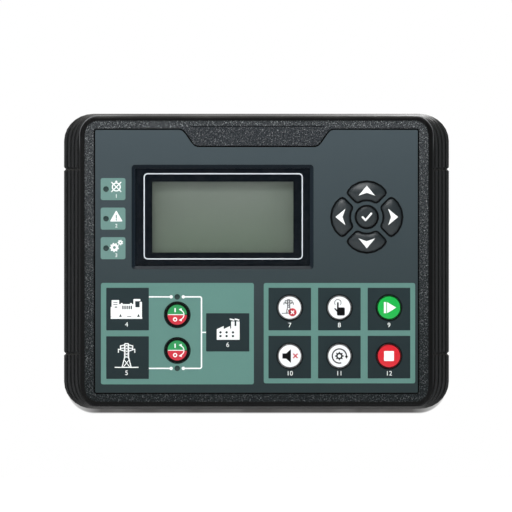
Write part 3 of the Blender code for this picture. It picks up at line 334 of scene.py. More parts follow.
@dataclass(frozen=True)
class Finish:
    """A moulded, printed or plated surface with grain, soft edges and dust."""

    name: str
    colour: Colour
    roughness: float = 0.5
    metallic: float = 0.0
    specular: float = 0.5
    grain_scale: float = 900.0
    grain_depth: float = 0.02 * MM
    mottle: float = 0.15                # how far the colour moves with the grain
    rough_spread: float = 0.08
    edge_radius: float = 0.2 * MM
    edge_light: float = 0.0             # how much lighter the edges are: rubbed wear and a painted highlight
    dust: float = 0.0
    brushed: bool = False
    low_colour: Colour | None = None    # painted shade: colour at the lower edge of the face
    low_height: float = 80 * MM         # how far below and above the middle the painted shade fades
    inner_level: float | None = None    # Y behind which the surface is painted dark as shade in its hole
    inner_fade: float = 0.3 * MM
    # painted shade colour of the part that lies back in its hole
    inner_colour: Colour = srgb(4, 4, 5)

    def material(self) -> Material:
        """Builds the material, or finds it if it was built before.

        Returns:
            The finished material.
        """
        found = bpy.data.materials.get(self.name)
        if found:
            return found
        made, wiring = open_material(self.name)
        place = wiring.place()
        effect = Effect.BRUSH if self.brushed else Effect.GRAIN
        grain = apply_effect(wiring, effect, Vector=place, Scale=self.grain_scale)
        edges = apply_effect(wiring, Effect.EDGES, Radius=self.edge_radius)
        dust = apply_effect(wiring, Effect.DUST, Vector=place, Amount=self.dust)["Mask"]
        mask = grain["Mask"]
        colour = self.mottled(wiring, mask, self.colour)
        _, y, z = wiring.split(place)
        # Painted shade: the colour darkens towards the lower edge, as light falls from above.
        if self.low_colour:
            low = self.mottled(wiring, mask, self.low_colour)
            colour = wiring.mix(wiring.ramp(z, -self.low_height, self.low_height), low, colour)
        # Painted shade: the part that lies back in its hole turns dark.
        if self.inner_level is not None:
            inner = wiring.ramp(y, self.inner_level, self.inner_level + self.inner_fade)
            colour = wiring.mix(inner, colour, self.inner_colour)
        # Lighter edges: rubbed wear, with a painted highlight along them.
        if self.edge_light:
            worn = (*(min(1.0, part * 1.8 + 0.10) for part in self.colour[:3]), 1.0)
            wear_and_highlight = wiring.times(edges["Mask"], wiring.times(mask, self.edge_light))
            colour = wiring.mix(wear_and_highlight, colour, worn)
        colour = wiring.mix(dust, colour, DUST_GREY)
        rough = wiring.ramp(mask, 0.0, 1.0, self.roughness - self.rough_spread,
                            self.roughness + self.rough_spread)
        bump = wiring.node("Bump", {"Strength": 1.0, "Distance": self.grain_depth,
                                    "Height": grain["Height"], "Normal": edges["Normal"]})
        wiring.end(wiring.node("BsdfPrincipled", {
            "Base Color": colour, "Roughness": wiring.plus(rough, wiring.times(dust, 0.3)),
            "Normal": bump.outputs[0], "Metallic": self.metallic,
            "Specular IOR Level": self.specular}))
        return made

    def mottled(self, wiring: Wiring, mask: Socket, colour: Colour) -> Socket:
        """A colour that moves from darker to lighter with a mask.

        Args:
            wiring: The material's wiring.
            mask: The mask.
            colour: The middle colour.

        Returns:
            The mottled colour.
        """
        shades = [(*(min(1.0, part * (1 + way * self.mottle)) for part in colour[:3]), 1.0)
                  for way in (-1, 1)]
        return wiring.mix(mask, *shades)


@dataclass(frozen=True)
class GrainedMoulding:
    """The bezel's plastic: coarse grain with bright glints on the face and a smoother rim, with
    painted light and shade; the face is lighter towards the top and the rim dark where it turns
    aside.
    """

    name: str
    face_level: float                   # Y of the face
    bed: Box                            # centre and half sizes of the film's bed
    window: Box                         # the same of the window recess
    tab: Box                            # the same of the bare tab
    turn: Point = (98.1 * MM, 78.6 * MM)        # centre of the corner arcs
    face_reach: float = 8.7 * MM                # from there to the end of the grained face
    face_fade: float = 0.4 * MM
    crest_reach: float = 12.0 * MM              # and to the crest, where a highlight is painted
    crest_width: Point = (0.1 * MM, 0.36 * MM)  # where the crest's painted highlight starts to fade and ends
    crest_corner: Point = (134 * MM, 151 * MM)  # the painted highlight shows only round the upper corners
    rim_level: Point = (0.15 * MM, 0.9 * MM)    # how far behind the face the rim starts and ends
    groove_level: float = 0.10 * MM
    height: float = 85 * MM                     # how far below and above the middle the painted light, shade and glints fade
    grain_scale: float = 980.0
    # scale of the painted glints on the grain
    spark_scale: float = 1450.0
    edge_radius: float = 0.30 * MM
    dust: float = 0.10
    grain_dark: float = 0.92
    specular: float = 0.09
    # painted light at the top of the face and painted shade at its bottom
    face_top: Colour = srgb(66, 70, 73)
    face_low: Colour = srgb(35, 41, 43)
    tab_colour: Colour = srgb(24, 27, 34)
    # painted shade and light of the rim, by which way it faces
    rim_dark: Colour = srgb(2, 2, 2)
    rim_light: Colour = srgb(46, 47, 48)
    # painted shade in the groove round the film and in the window's recess
    groove: Colour = srgb(3, 3, 4)
    recess: Colour = srgb(22, 30, 37)
    # edge colour: rubbed wear and a painted highlight
    worn: Colour = srgb(84, 86, 88)
    # painted highlight along the crest
    crest: Colour = srgb(112, 114, 116)
    # painted glints on the grain
    spark: Colour = srgb(190, 194, 196)

    @staticmethod
    def within(wiring: Wiring, x: Socket, z: Socket, box: Box) -> Socket:
        """A mask that is 1 inside an upright box given by its centre and half sizes.

        Args:
            wiring: The material's wiring.
            x: The point's place along X.
            z: Its place along Z.
            box: Centre and half sizes of the box.

        Returns:
            The mask.
        """
        masks = [wiring.math("LESS_THAN", wiring.size(wiring.minus(value, middle)), half)
                 for value, middle, half in zip((x, z), box[:2], box[2:])]
        return wiring.times(*masks)

    def material(self) -> Material:
        """Builds the moulding's material.

        Returns:
            The finished material.
        """
        made, wiring = open_material(self.name)
        mix, ramp, times = wiring.mix, wiring.ramp, wiring.times
        place = wiring.place()
        x, y, z = wiring.split(place)
        grain = apply_effect(wiring, Effect.GRAIN, Vector=place, Scale=self.grain_scale)
        glint_spots = apply_effect(wiring, Effect.GRAIN, Vector=place, Scale=self.spark_scale)["Mask"]
        edges = apply_effect(wiring, Effect.EDGES, Radius=self.edge_radius)
        dust = apply_effect(wiring, Effect.DUST, Vector=place, Amount=self.dust)["Mask"]
        mask = grain["Mask"]
        ahead = wiring.normal()[1]
        reach = wiring.outside(x, z, self.turn)
        # The grained face looks straight ahead and ends short of the crest.
        start, end = (self.face_level + drop for drop in self.rim_level)
        face = times(ramp(ahead, -0.995, -0.93, 1.0, 0.0), ramp(y, start, end, 1.0, 0.0),
                     ramp(reach, self.face_reach - self.face_fade,
                          self.face_reach + self.face_fade, 1.0, 0.0))
        # Painted light and shade: the face is lighter towards the top and darker towards the
        # bottom.
        tone = mix(ramp(z, -self.height, self.height), self.face_low, self.face_top)
        tone = mix(mask, mix(self.grain_dark, tone, BLACK), tone)
        # Painted glints on the grain, brighter towards the top.
        glint = times(ramp(glint_spots, 0.80, 0.95), ramp(z, -self.height, self.height, 0.35, 0.85))
        tone = mix(glint, tone, self.spark)
        tone = mix(times(self.within(wiring, x, z, self.tab), 0.35), tone, self.tab_colour)
        # Painted light and shade on the rim: lighter where it faces ahead, dark where it turns to
        # the side.
        slope = ramp(reach, self.crest_reach - 0.8 * MM, self.crest_reach + 0.2 * MM, 0.15, 1.0)
        turned = times(ramp(ahead, -0.85, -0.30, 1.0, 0.0), slope)
        colour = mix(face, mix(turned, self.rim_dark, self.rim_light), tone)
        # Painted shade: the groove round the film and the window's recess lie deeper and are
        # painted dark; the recess walls keep a bluish film-like tone under it.
        sunk = wiring.math("GREATER_THAN", y, self.face_level + self.groove_level)
        groove = times(wiring.math("MAXIMUM", sunk, edges["Mask"]),
                       self.within(wiring, x, z, self.bed))
        colour = mix(groove, colour, self.groove)
        recess = times(groove, self.within(wiring, x, z, self.window))
        colour = mix(recess, colour, self.recess)
        # Lighter edges: rubbed wear, with a painted highlight along the ridges.
        wear_and_highlight = times(edges["Mask"], ramp(mask, 0.0, 1.0, 0.2, 0.7), wiring.minus(1.0, groove))
        colour = mix(wear_and_highlight, colour, self.worn)
        # Painted highlight along the crest, round the upper corners.
        corner = wiring.plus(z, times(wiring.size(x), 0.6))
        beside = wiring.size(wiring.minus(reach, self.crest_reach))
        shine = times(ramp(corner, *self.crest_corner), ramp(beside, *self.crest_width, 1.0, 0.0))
        colour = mix(dust, mix(shine, colour, self.crest), DUST_GREY)
        relief = times(grain["Height"], ramp(face, 0.0, 1.0, 0.012, 0.10))
        bump = wiring.node("Bump", {"Distance": 1.0 * MM, "Height": relief,
                                    "Normal": edges["Normal"]})
        wiring.end(wiring.node("BsdfPrincipled", {
            "Base Color": colour, "Roughness": ramp(mask, 0.0, 1.0, 0.46, 0.34),
            "Normal": bump.outputs[0], "Specular IOR Level": self.specular}))
        return made


@dataclass(frozen=True)
class LiquidCrystal:
    """The grey-green face of an unlit display, with its field of dots, painted lighter towards the
    top and darker towards the sides.
    """

    name: str
    centre: Point
    width: float
    height: float
    middle: Colour = srgb(95, 109, 95)
    # painted light: lighter colour towards the top
    upper: Colour = srgb(112, 121, 113)
    # painted shade: darker colour towards the left and right ends
    side: Colour = srgb(88, 98, 88)
    between: Colour = srgb(60, 66, 62)
    dot_pitch: float = 0.34 * MM
    coat: float = 0.4
    coat_roughness: float = 0.25

    def material(self) -> Material:
        """Builds the display's material.

        Returns:
            The finished material.
        """
        made, wiring = open_material(self.name)
        place = wiring.place()
        across, up = wiring.around(place, self.centre)
        share_x = wiring.size(wiring.math("DIVIDE", across, self.width / 2))
        share_z = wiring.math("DIVIDE", up, self.height / 2)
        # Painted shade towards the sides and painted light towards the top.
        shade = wiring.times(wiring.math("POWER", share_x, 3.0), 0.8)
        middle = wiring.mix(wiring.ramp(share_z, -0.7, 0.9), self.middle, self.upper)
        cloud = wiring.ramp(wiring.noise(place, 30.0), 0.3, 0.7, -0.12, 0.12)
        colour = wiring.mix(wiring.ramp(wiring.plus(shade, cloud), 0.0, 1.0), middle, self.side)
        dots = [wiring.math("PINGPONG", wiring.size(axis), self.dot_pitch / 2)
                for axis in (across, up)]
        gap = wiring.ramp(wiring.math("MINIMUM", *dots), 0.0, self.dot_pitch * 0.12, 0.10, 0.0)
        wiring.end(wiring.node("BsdfPrincipled", {
            "Base Color": wiring.mix(gap, colour, self.between),
            "Roughness": wiring.ramp(wiring.noise(place, 700.0), 0.3, 0.7, 0.30, 0.38),
            "Coat Weight": self.coat, "Coat Roughness": self.coat_roughness}))
        return made


@dataclass(frozen=True)
class SmokedPane:
    """A clear pane with a black printed border, open over the display."""

    name: str
    centre: Point
    view_width: float
    view_height: float
    border: Colour = srgb(6, 11, 16)
    haze: Colour = srgb(9, 15, 21)
    tint: float = 0.05                  # how much of the clear part is seen
    edge_radius: float = 0.15 * MM
    specular: float = 0.25

    def material(self) -> Material:
        """Builds the pane's material.

        Returns:
            The finished material.
        """
        made, wiring = open_material(self.name)
        place = wiring.place()
        past = [wiring.minus(wiring.size(value), limit / 2) for value, limit in
                zip(wiring.around(place, self.centre), (self.view_width, self.view_height))]
        alpha = wiring.ramp(wiring.math("MAXIMUM", *past), -0.2 * MM, 0.0, self.tint, 1.0)
        haze = wiring.ramp(wiring.noise(place, 60.0, 3.0), 0.3, 0.7)
        smear = wiring.ramp(wiring.noise(place, 320.0, 4.0), 0.3, 0.7, 0.10, 0.22)
        edges = apply_effect(wiring, Effect.EDGES, Radius=self.edge_radius)
        wiring.end(wiring.node("BsdfPrincipled", {
            "Base Color": wiring.mix(haze, self.border, self.haze), "Alpha": alpha,
            "Roughness": smear, "Normal": edges["Normal"], "Specular IOR Level": self.specular}))
        return made


printed = partial(Finish, grain_scale=2600, grain_depth=0.005 * MM, mottle=0.06,
                  rough_spread=0.05, edge_radius=0.02 * MM)
inked = partial(Finish, roughness=0.45, grain_scale=3000, grain_depth=0.003 * MM, mottle=0.03,
                edge_radius=0.02 * MM)
# Coloured caps: painted shade darkens the part of a cap that lies back in its hole.
coloured_cap = partial(Finish, roughness=0.36, grain_scale=1800, grain_depth=0.005 * MM,
                       mottle=0.05, edge_radius=0.12 * MM, inner_level=KEY_SKIRT)
plated = partial(Finish, metallic=1.0, brushed=True, grain_depth=0.004 * MM, mottle=0.10,
                 edge_radius=0.15 * MM)
connector = partial(Finish, grain_scale=1700, grain_depth=0.010 * MM, mottle=0.12, dust=0.05)

# The film and the dark tiles carry painted shade that darkens them towards the bottom.
FILM = Finish("overlay_film", srgb(56, 67, 72), 0.46, specular=0.35, grain_scale=2600,
              grain_depth=0.006 * MM, mottle=0.05, rough_spread=0.05, edge_radius=0.1 * MM,
              dust=0.03, low_colour=srgb(29, 43, 45))
PANEL_GREEN = printed("print_green", srgb(85, 126, 118), 0.46)
TILE_GREEN = printed("print_pale_green", srgb(96, 130, 124), 0.42)
TILE_DARK = printed("print_slate", srgb(32, 48, 52), 0.46, low_colour=srgb(23, 37, 40),
                    specular=0.3)
INK_WHITE = inked("print_white", srgb(232, 236, 235))
INK_SILVER = inked("print_silver", srgb(198, 204, 210))
INK_BLACK = inked("print_black", srgb(6, 7, 9), mottle=0.10, specular=0.15)
INK_RED = inked("print_red", srgb(190, 38, 54), roughness=0.42, mottle=0.05)
INK_GREEN = inked("print_signal_green", srgb(34, 138, 76), roughness=0.42, mottle=0.05)
CAP_DARK = coloured_cap("cap_black", srgb(34, 41, 44), roughness=0.42, grain_depth=0.008 * MM,
                        mottle=0.12, edge_radius=2.6 * MM)
CAP_JET = Finish("cap_jet", srgb(9, 10, 11), 0.40, specular=0.15, grain_scale=1800,
                 grain_depth=0.006 * MM, mottle=0.10, edge_radius=0.25 * MM)
CAP_WHITE = coloured_cap("cap_white", srgb(226, 229, 231), roughness=0.38, mottle=0.03)
CAP_GREEN = coloured_cap("cap_green", srgb(6, 168, 66))
CAP_RED = coloured_cap("cap_red", srgb(200, 25, 39))
LIGHT_PIPE = Finish("light_pipe_smoke", srgb(38, 56, 54), 0.20, grain_scale=1500,
                    grain_depth=0.002 * MM, mottle=0.10, edge_radius=0.1 * MM)
# Where these finishes are lighter on their edges, that is rubbed wear and a painted highlight.
HOUSING = Finish("housing_black", srgb(36, 38, 40), 0.50, grain_scale=1250,
                 grain_depth=0.04 * MM, mottle=0.25, rough_spread=0.10, edge_radius=0.4 * MM,
                 edge_light=0.25, dust=0.12)
GASKET = Finish("gasket_black", srgb(24, 24, 25), 0.78, grain_scale=2200,
                grain_depth=0.03 * MM, mottle=0.2, edge_radius=0.3 * MM, dust=0.15)
ZINC = plated("zinc_bright", srgb(190, 192, 194), 0.32, grain_scale=500, edge_light=0.2)
YELLOW_ZINC = plated("zinc_yellow", srgb(196, 184, 140), 0.34, grain_scale=420, mottle=0.16,
                     edge_light=0.2)
CLIP_STEEL = plated("clip_plated", srgb(176, 178, 180), 0.36, grain_scale=360,
                    grain_depth=0.008 * MM, mottle=0.12, edge_radius=0.3 * MM, edge_light=0.3)
SHELL_STEEL = plated("shell_steel", srgb(196, 198, 200), 0.28, grain_scale=600,
                     grain_depth=0.003 * MM, mottle=0.08, edge_radius=0.2 * MM)
GILT = plated("contact_gilt", srgb(206, 172, 98), 0.30, grain_scale=700,
              grain_depth=0.002 * MM, edge_radius=0.05 * MM)
PLUG = connector("plug_green", srgb(40, 128, 72), 0.42, edge_light=0.1)
HEADER = connector("header_green", srgb(34, 112, 62), 0.45, edge_radius=0.15 * MM)
LAMINATE = Finish("board_green", srgb(22, 84, 48), 0.35, grain_depth=0.008 * MM, mottle=0.18,
                  edge_radius=0.1 * MM, dust=0.05)
PART_BLACK = Finish("part_black", srgb(26, 26, 28), 0.45, grain_scale=1500,
                    grain_depth=0.010 * MM)
DIFFUSER = Finish("backlight_white", srgb(214, 218, 214), grain_depth=0.005 * MM, mottle=0.05)


def place_in_scene(name: str, shape: Shape, look: Material) -> bpy.types.Object:
    """Turns a bmesh into an object of the scene.

    Args:
        name: The object's name.
        shape: Its mesh, in place; it is freed.
        look: Its material.

    Returns:
        The new object.
    """
    mesh = bpy.data.meshes.new(name)
    shape.to_mesh(mesh)
    shape.free()
    mesh.materials.append(look)
    made = bpy.data.objects.new(name, mesh)
    bpy.context.scene.collection.objects.link(made)
    return made


def publish(name: str, shape: Shape, look: Finish | GrainedMoulding, slot: str,
            body: str = HOUSE, replaces: Sequence[str] = (), smooth: float | None = None,
            ledge: float | None = None) -> None:
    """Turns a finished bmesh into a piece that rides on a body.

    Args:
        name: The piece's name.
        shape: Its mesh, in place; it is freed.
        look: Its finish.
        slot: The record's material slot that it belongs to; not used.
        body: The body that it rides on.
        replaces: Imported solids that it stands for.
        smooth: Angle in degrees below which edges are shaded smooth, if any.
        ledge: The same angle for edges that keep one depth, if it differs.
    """
    if smooth is not None:
        for face in shape.faces:
            face.smooth = True
        for edge in shape.edges:
            level = abs(edge.verts[0].co.y - edge.verts[1].co.y) < NEAR
            limit = ledge if level and ledge is not None else smooth
            edge.smooth = edge.calc_face_angle(0.0) < math.radians(limit)
    piece = place_in_scene(name, shape, look.material())
    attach(piece, body)
    if replaces:
        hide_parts(*replaces)
    LOG.info("%s: %d faces, rides on %s", name, len(piece.data.polygons), body)


def dress(look: Finish | LiquidCrystal | SmokedPane, *starts: str) -> None:
    """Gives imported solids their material.

    Args:
        look: Their finish.
        *starts: Their names, or what their names start with.
    """
    material = look.material()
    for name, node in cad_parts.items():
        if name.startswith(starts):
            node.data.materials.clear()
            node.data.materials.append(material)
            LOG.info("%s: %s", name, material.name)


def middle(node: str) -> Point:
    """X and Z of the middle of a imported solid."""
    low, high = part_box(node)
    return ((low.x + high.x) / 2, (low.z + high.z) / 2)


def merged(node: str) -> Shape:
    """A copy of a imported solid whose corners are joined.

    Args:
        node: The solid's name.

    Returns:
        The copy.
    """
    shape = bmesh.new()
    shape.from_mesh(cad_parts[node].data)
    bmesh.ops.remove_doubles(shape, verts=shape.verts[:], dist=NEAR)
    return shape


def front_of(node: str) -> Shape:
    """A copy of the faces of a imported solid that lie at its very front.

    Args:
        node: The solid's name.

    Returns:
        The copy.
    """
    shape, front = merged(node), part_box(node)[0].y
    away = [face for face in shape.faces if any(v.co.y > front + NEAR for v in face.verts)]
    bmesh.ops.delete(shape, geom=away, context="FACES")
    return shape


def rounded(shape: Shape, items: list, radius: float, steps: int, kind: str = "EDGES") -> None:
    """Rounds edges, or corners of a flat shape.

    Args:
        shape: The shape.
        items: Its edges, or its verts.
        radius: The radius.
        steps: Steps of each arc.
        kind: EDGES, or VERTICES for the corners of a flat shape.
    """
    bmesh.ops.bevel(shape, geom=items, offset=radius, offset_type="OFFSET", segments=steps,
                    profile=0.5, affect=kind, material=-1)


def rounded_rectangle(width: float, height: float, corner: float) -> Shape:
    """A flat rectangle round the origin with round corners.

    Args:
        width: Its size along X.
        height: Its size along Y.
        corner: Radius of its corners, or zero.

    Returns:
        A bmesh with the one face.
    """
    shape = bmesh.new()
    bmesh.ops.create_grid(shape, x_segments=1, y_segments=1, size=0.5)
    bmesh.ops.scale(shape, vec=(width, height, 1.0), verts=shape.verts[:])
    if corner:
        rounded(shape, shape.verts[:], corner, 6, "VERTICES")
    return shape


def turned(profile: Sequence[Point], steps: int) -> Shape:
    """A body of revolution round the Y axis.

    Args:
        profile: Radius and Y of its corners, from axis to axis.
        steps: Steps of the full turn.

    Returns:
        The body.
    """
    shape = bmesh.new()
    points = [shape.verts.new((radius, y, 0.0)) for radius, y in profile]
    edges = [shape.edges.new(pair) for pair in zip(points, points[1:])]
    bmesh.ops.spin(shape, geom=[*points, *edges], cent=(0, 0, 0), axis=(0, 1, 0),
                   angle=2 * math.pi, steps=steps, use_merge=True)
    bmesh.ops.remove_doubles(shape, verts=shape.verts[:], dist=NEAR)
    return shape


def raise_faces(shape: Shape, faces: list[bmesh.types.BMFace], height: float) -> None:
    """Pushes faces out along Z, or in, with walls round them.

    Args:
        shape: The shape.
        faces: Its faces.
        height: How far they go, in metres; below zero is in.
    """
    grown = bmesh.ops.extrude_face_region(shape, geom=faces)["geom"]
    lifted = [item for item in grown if isinstance(item, bmesh.types.BMVert)]
    bmesh.ops.translate(shape, vec=(0, 0, height), verts=lifted)


def add_shape(target: Shape, part: Shape) -> None:
    """Adds one shape to another and frees it.

    Args:
        target: The shape that grows.
        part: The shape that is added.
    """
    mesh = bpy.data.meshes.new("part")
    part.to_mesh(mesh)
    part.free()
    target.from_mesh(mesh)
    bpy.data.meshes.remove(mesh)


class Print:
    """Flat shapes of one ink, drawn in X and Z round a point, that become one thin piece."""

    def __init__(self) -> None:
        """Starts with nothing drawn, in metres round the origin."""
        self.shape = bmesh.new()
        self.count = 0
        self.at(0.0, 0.0, 1.0)

    def at(self, x: float, z: float, unit: float = MM) -> "Print":
        """Moves the point that shapes are drawn round, and sets the unit.

        Args:
            x: The point along X, in metres.
            z: The point along Z, in metres.
            unit: Length of one unit, in metres.

        Returns:
            The print itself.
        """
        self.x, self.z, self.unit = x, z, unit
        return self

    def keep(self, part: Shape, x: float = 0.0, z: float = 0.0, turn: float = 0.0) -> None:
        """Turns and places a shape that was made round the origin, and adds it.

        Args:
            part: The shape, in metres; it is freed.
            x: Where it goes along X.
            z: Where it goes along Z.
            turn: Angle in radians, counter-clockwise.
        """
        self.count += 1
        spot = (self.x + x * self.unit, self.z + z * self.unit, self.count * LIFT)
        part.transform(Matrix.Translation(spot) @ Matrix.Rotation(turn, 4, "Z"))
        add_shape(self.shape, part)

    def box(self, x: float, z: float, width: float, height: float, corner: float = 0.0,
            turn: float = 0.0, holes: Sequence[tuple[float, float, float]] = ()) -> None:
        """Draws a rectangle, with round holes if any are given.

        Args:
            x: Centre along X.
            z: Centre along Z.
            width: Its width.
            height: Its height.
            corner: Radius of its corners.
            turn: Angle in radians.
            holes: X, Z and radius of each hole, for a print in metres round the origin.
        """
        part = rounded_rectangle(width * self.unit, height * self.unit, corner * self.unit)
        if holes:
            bmesh.ops.delete(part, geom=part.faces[:], context="FACES_ONLY")
            for hole_x, hole_z, radius in holes:
                spot = Matrix.Translation((hole_x - x, hole_z - z, 0.0))
                bmesh.ops.create_circle(part, segments=ROUND, radius=radius, matrix=spot)
            bmesh.ops.triangle_fill(part, use_beauty=True, edges=part.edges[:])
        self.keep(part, x, z, turn)

    def disc(self, x: float, z: float, radius: float, steps: int = ROUND) -> None:
        """Draws a full disc."""
        self.cog(x, z, radius, steps // 4, 0.0)

    def cog(self, x: float, z: float, radius: float, teeth: int, tooth: float,
            turn: float = 0.0) -> None:
        """Draws a toothed wheel.

        Args:
            x: Centre along X.
            z: Centre along Z.
            radius: Radius at the foot of its teeth.
            teeth: How many teeth it has, each with four corners.
            tooth: How far they stand out.
            turn: Angle in radians.
        """
        part = bmesh.new()
        rim = bmesh.ops.create_circle(part, cap_ends=True, segments=4 * teeth,
                                      radius=radius * self.unit)["verts"]
        for number, vert in enumerate(rim if tooth else ()):
            if number % 4 in (1, 2):
                vert.co *= (radius + tooth) / radius
        self.keep(part, x, z, turn)

    def arc(self, x: float, z: float, radius: float, line: float, start: float = 0.0,
            sweep: float = 360.0) -> None:
        """Draws a ring or a part of one.

        Args:
            x: Centre along X.
            z: Centre along Z.
            radius: Radius of the middle of the line.
            line: Width of the line.
            start: Where it starts, in degrees from +X.
            sweep: How far it goes, in degrees.
        """
        part = bmesh.new()
        ends = [part.verts.new(((radius + side * line / 2) * self.unit, 0.0, 0.0))
                for side in (-1, 1)]
        edge = part.edges.new(ends)
        bmesh.ops.spin(part, geom=[*ends, edge], cent=(0, 0, 0), axis=(0, 0, 1),
                       angle=math.radians(sweep), use_merge=abs(sweep) >= 360.0,
                       steps=max(6, round(ROUND * abs(sweep) / 360)))
        self.keep(part, x, z, math.radians(start))

    def polygon(self, points: Sequence[Point], x: float = 0.0, z: float = 0.0,
                turn: float = 0.0, corner: float = 0.0) -> None:
        """Draws a filled outline.

        Args:
            points: The outline's corners.
            x: Where the outline's origin goes along X.
            z: Where it goes along Z.
            turn: Angle in radians.
            corner: Radius of its corners.
        """
        part = bmesh.new()
        verts = [part.verts.new((px * self.unit, pz * self.unit, 0.0)) for px, pz in points]
        rim = [part.edges.new(pair) for pair in zip(verts, verts[1:] + verts[:1])]
        bmesh.ops.edgeloop_fill(part, edges=rim)
        if corner:
            rounded(part, part.verts[:], corner * self.unit, 4, "VERTICES")
        self.keep(part, x, z, turn)

    def bar(self, start: Point, end: Point, line: float, round_ends: bool = False) -> None:
        """Draws a straight line.

        Args:
            start: X and Z of one end.
            end: X and Z of the other end.
            line: Its width.
            round_ends: Whether its ends are round.
        """
        run = Vector(end) - Vector(start)
        centre = (Vector(end) + Vector(start)) / 2
        longer, corner = (line, line * 0.49) if round_ends else (0.0, 0.0)
        self.box(*centre, run.length + longer, line, corner, math.atan2(run.y, run.x))

    def numeral(self, x: float, z: float, number: int, height: float) -> None:
        """Draws a plain number.

        Args:
            x: Centre along X.
            z: Centre along Z.
            number: The number.
            height: Height of a digit.
        """
        letters = bpy.data.curves.new("numeral", "FONT")
        letters.body = str(number)
        letters.size = height * self.unit / 0.69        # a digit is this share of the size
        letters.align_x = letters.align_y = "CENTER"
        holder = bpy.data.objects.new("numeral", letters)
        mesh = bpy.data.meshes.new_from_object(holder)
        part = bmesh.new()
        part.from_mesh(mesh)
        self.keep(part, x, z)
        bpy.data.objects.remove(holder)
        bpy.data.curves.remove(letters)
        bpy.data.meshes.remove(mesh)

    def piece(self, name: str, level: float, look: Finish, slot: str = "overlay_sheet",
              body: str = HOUSE, rear: bool = False) -> None:
        """Gives the drawing its thickness and stands it on a surface.

        Args:
            name: The piece's name.
            level: Y of the surface that it lies on.
            look: Its finish.
            slot: The record's material slot.
            body: The body that it rides on.
            rear: Whether it faces the rear, with X counted from there.
        """
        raise_faces(self.shape, self.shape.faces[:], INK)
        bmesh.ops.recalc_face_normals(self.shape, faces=self.shape.faces[:])
        facing = Matrix.Rotation(math.pi if rear else 0.0, 4, "Z")
        self.shape.transform(Matrix.Translation((0.0, level, 0.0)) @ facing @ FACE_ON)
        publish(name, self.shape, look, slot, body)


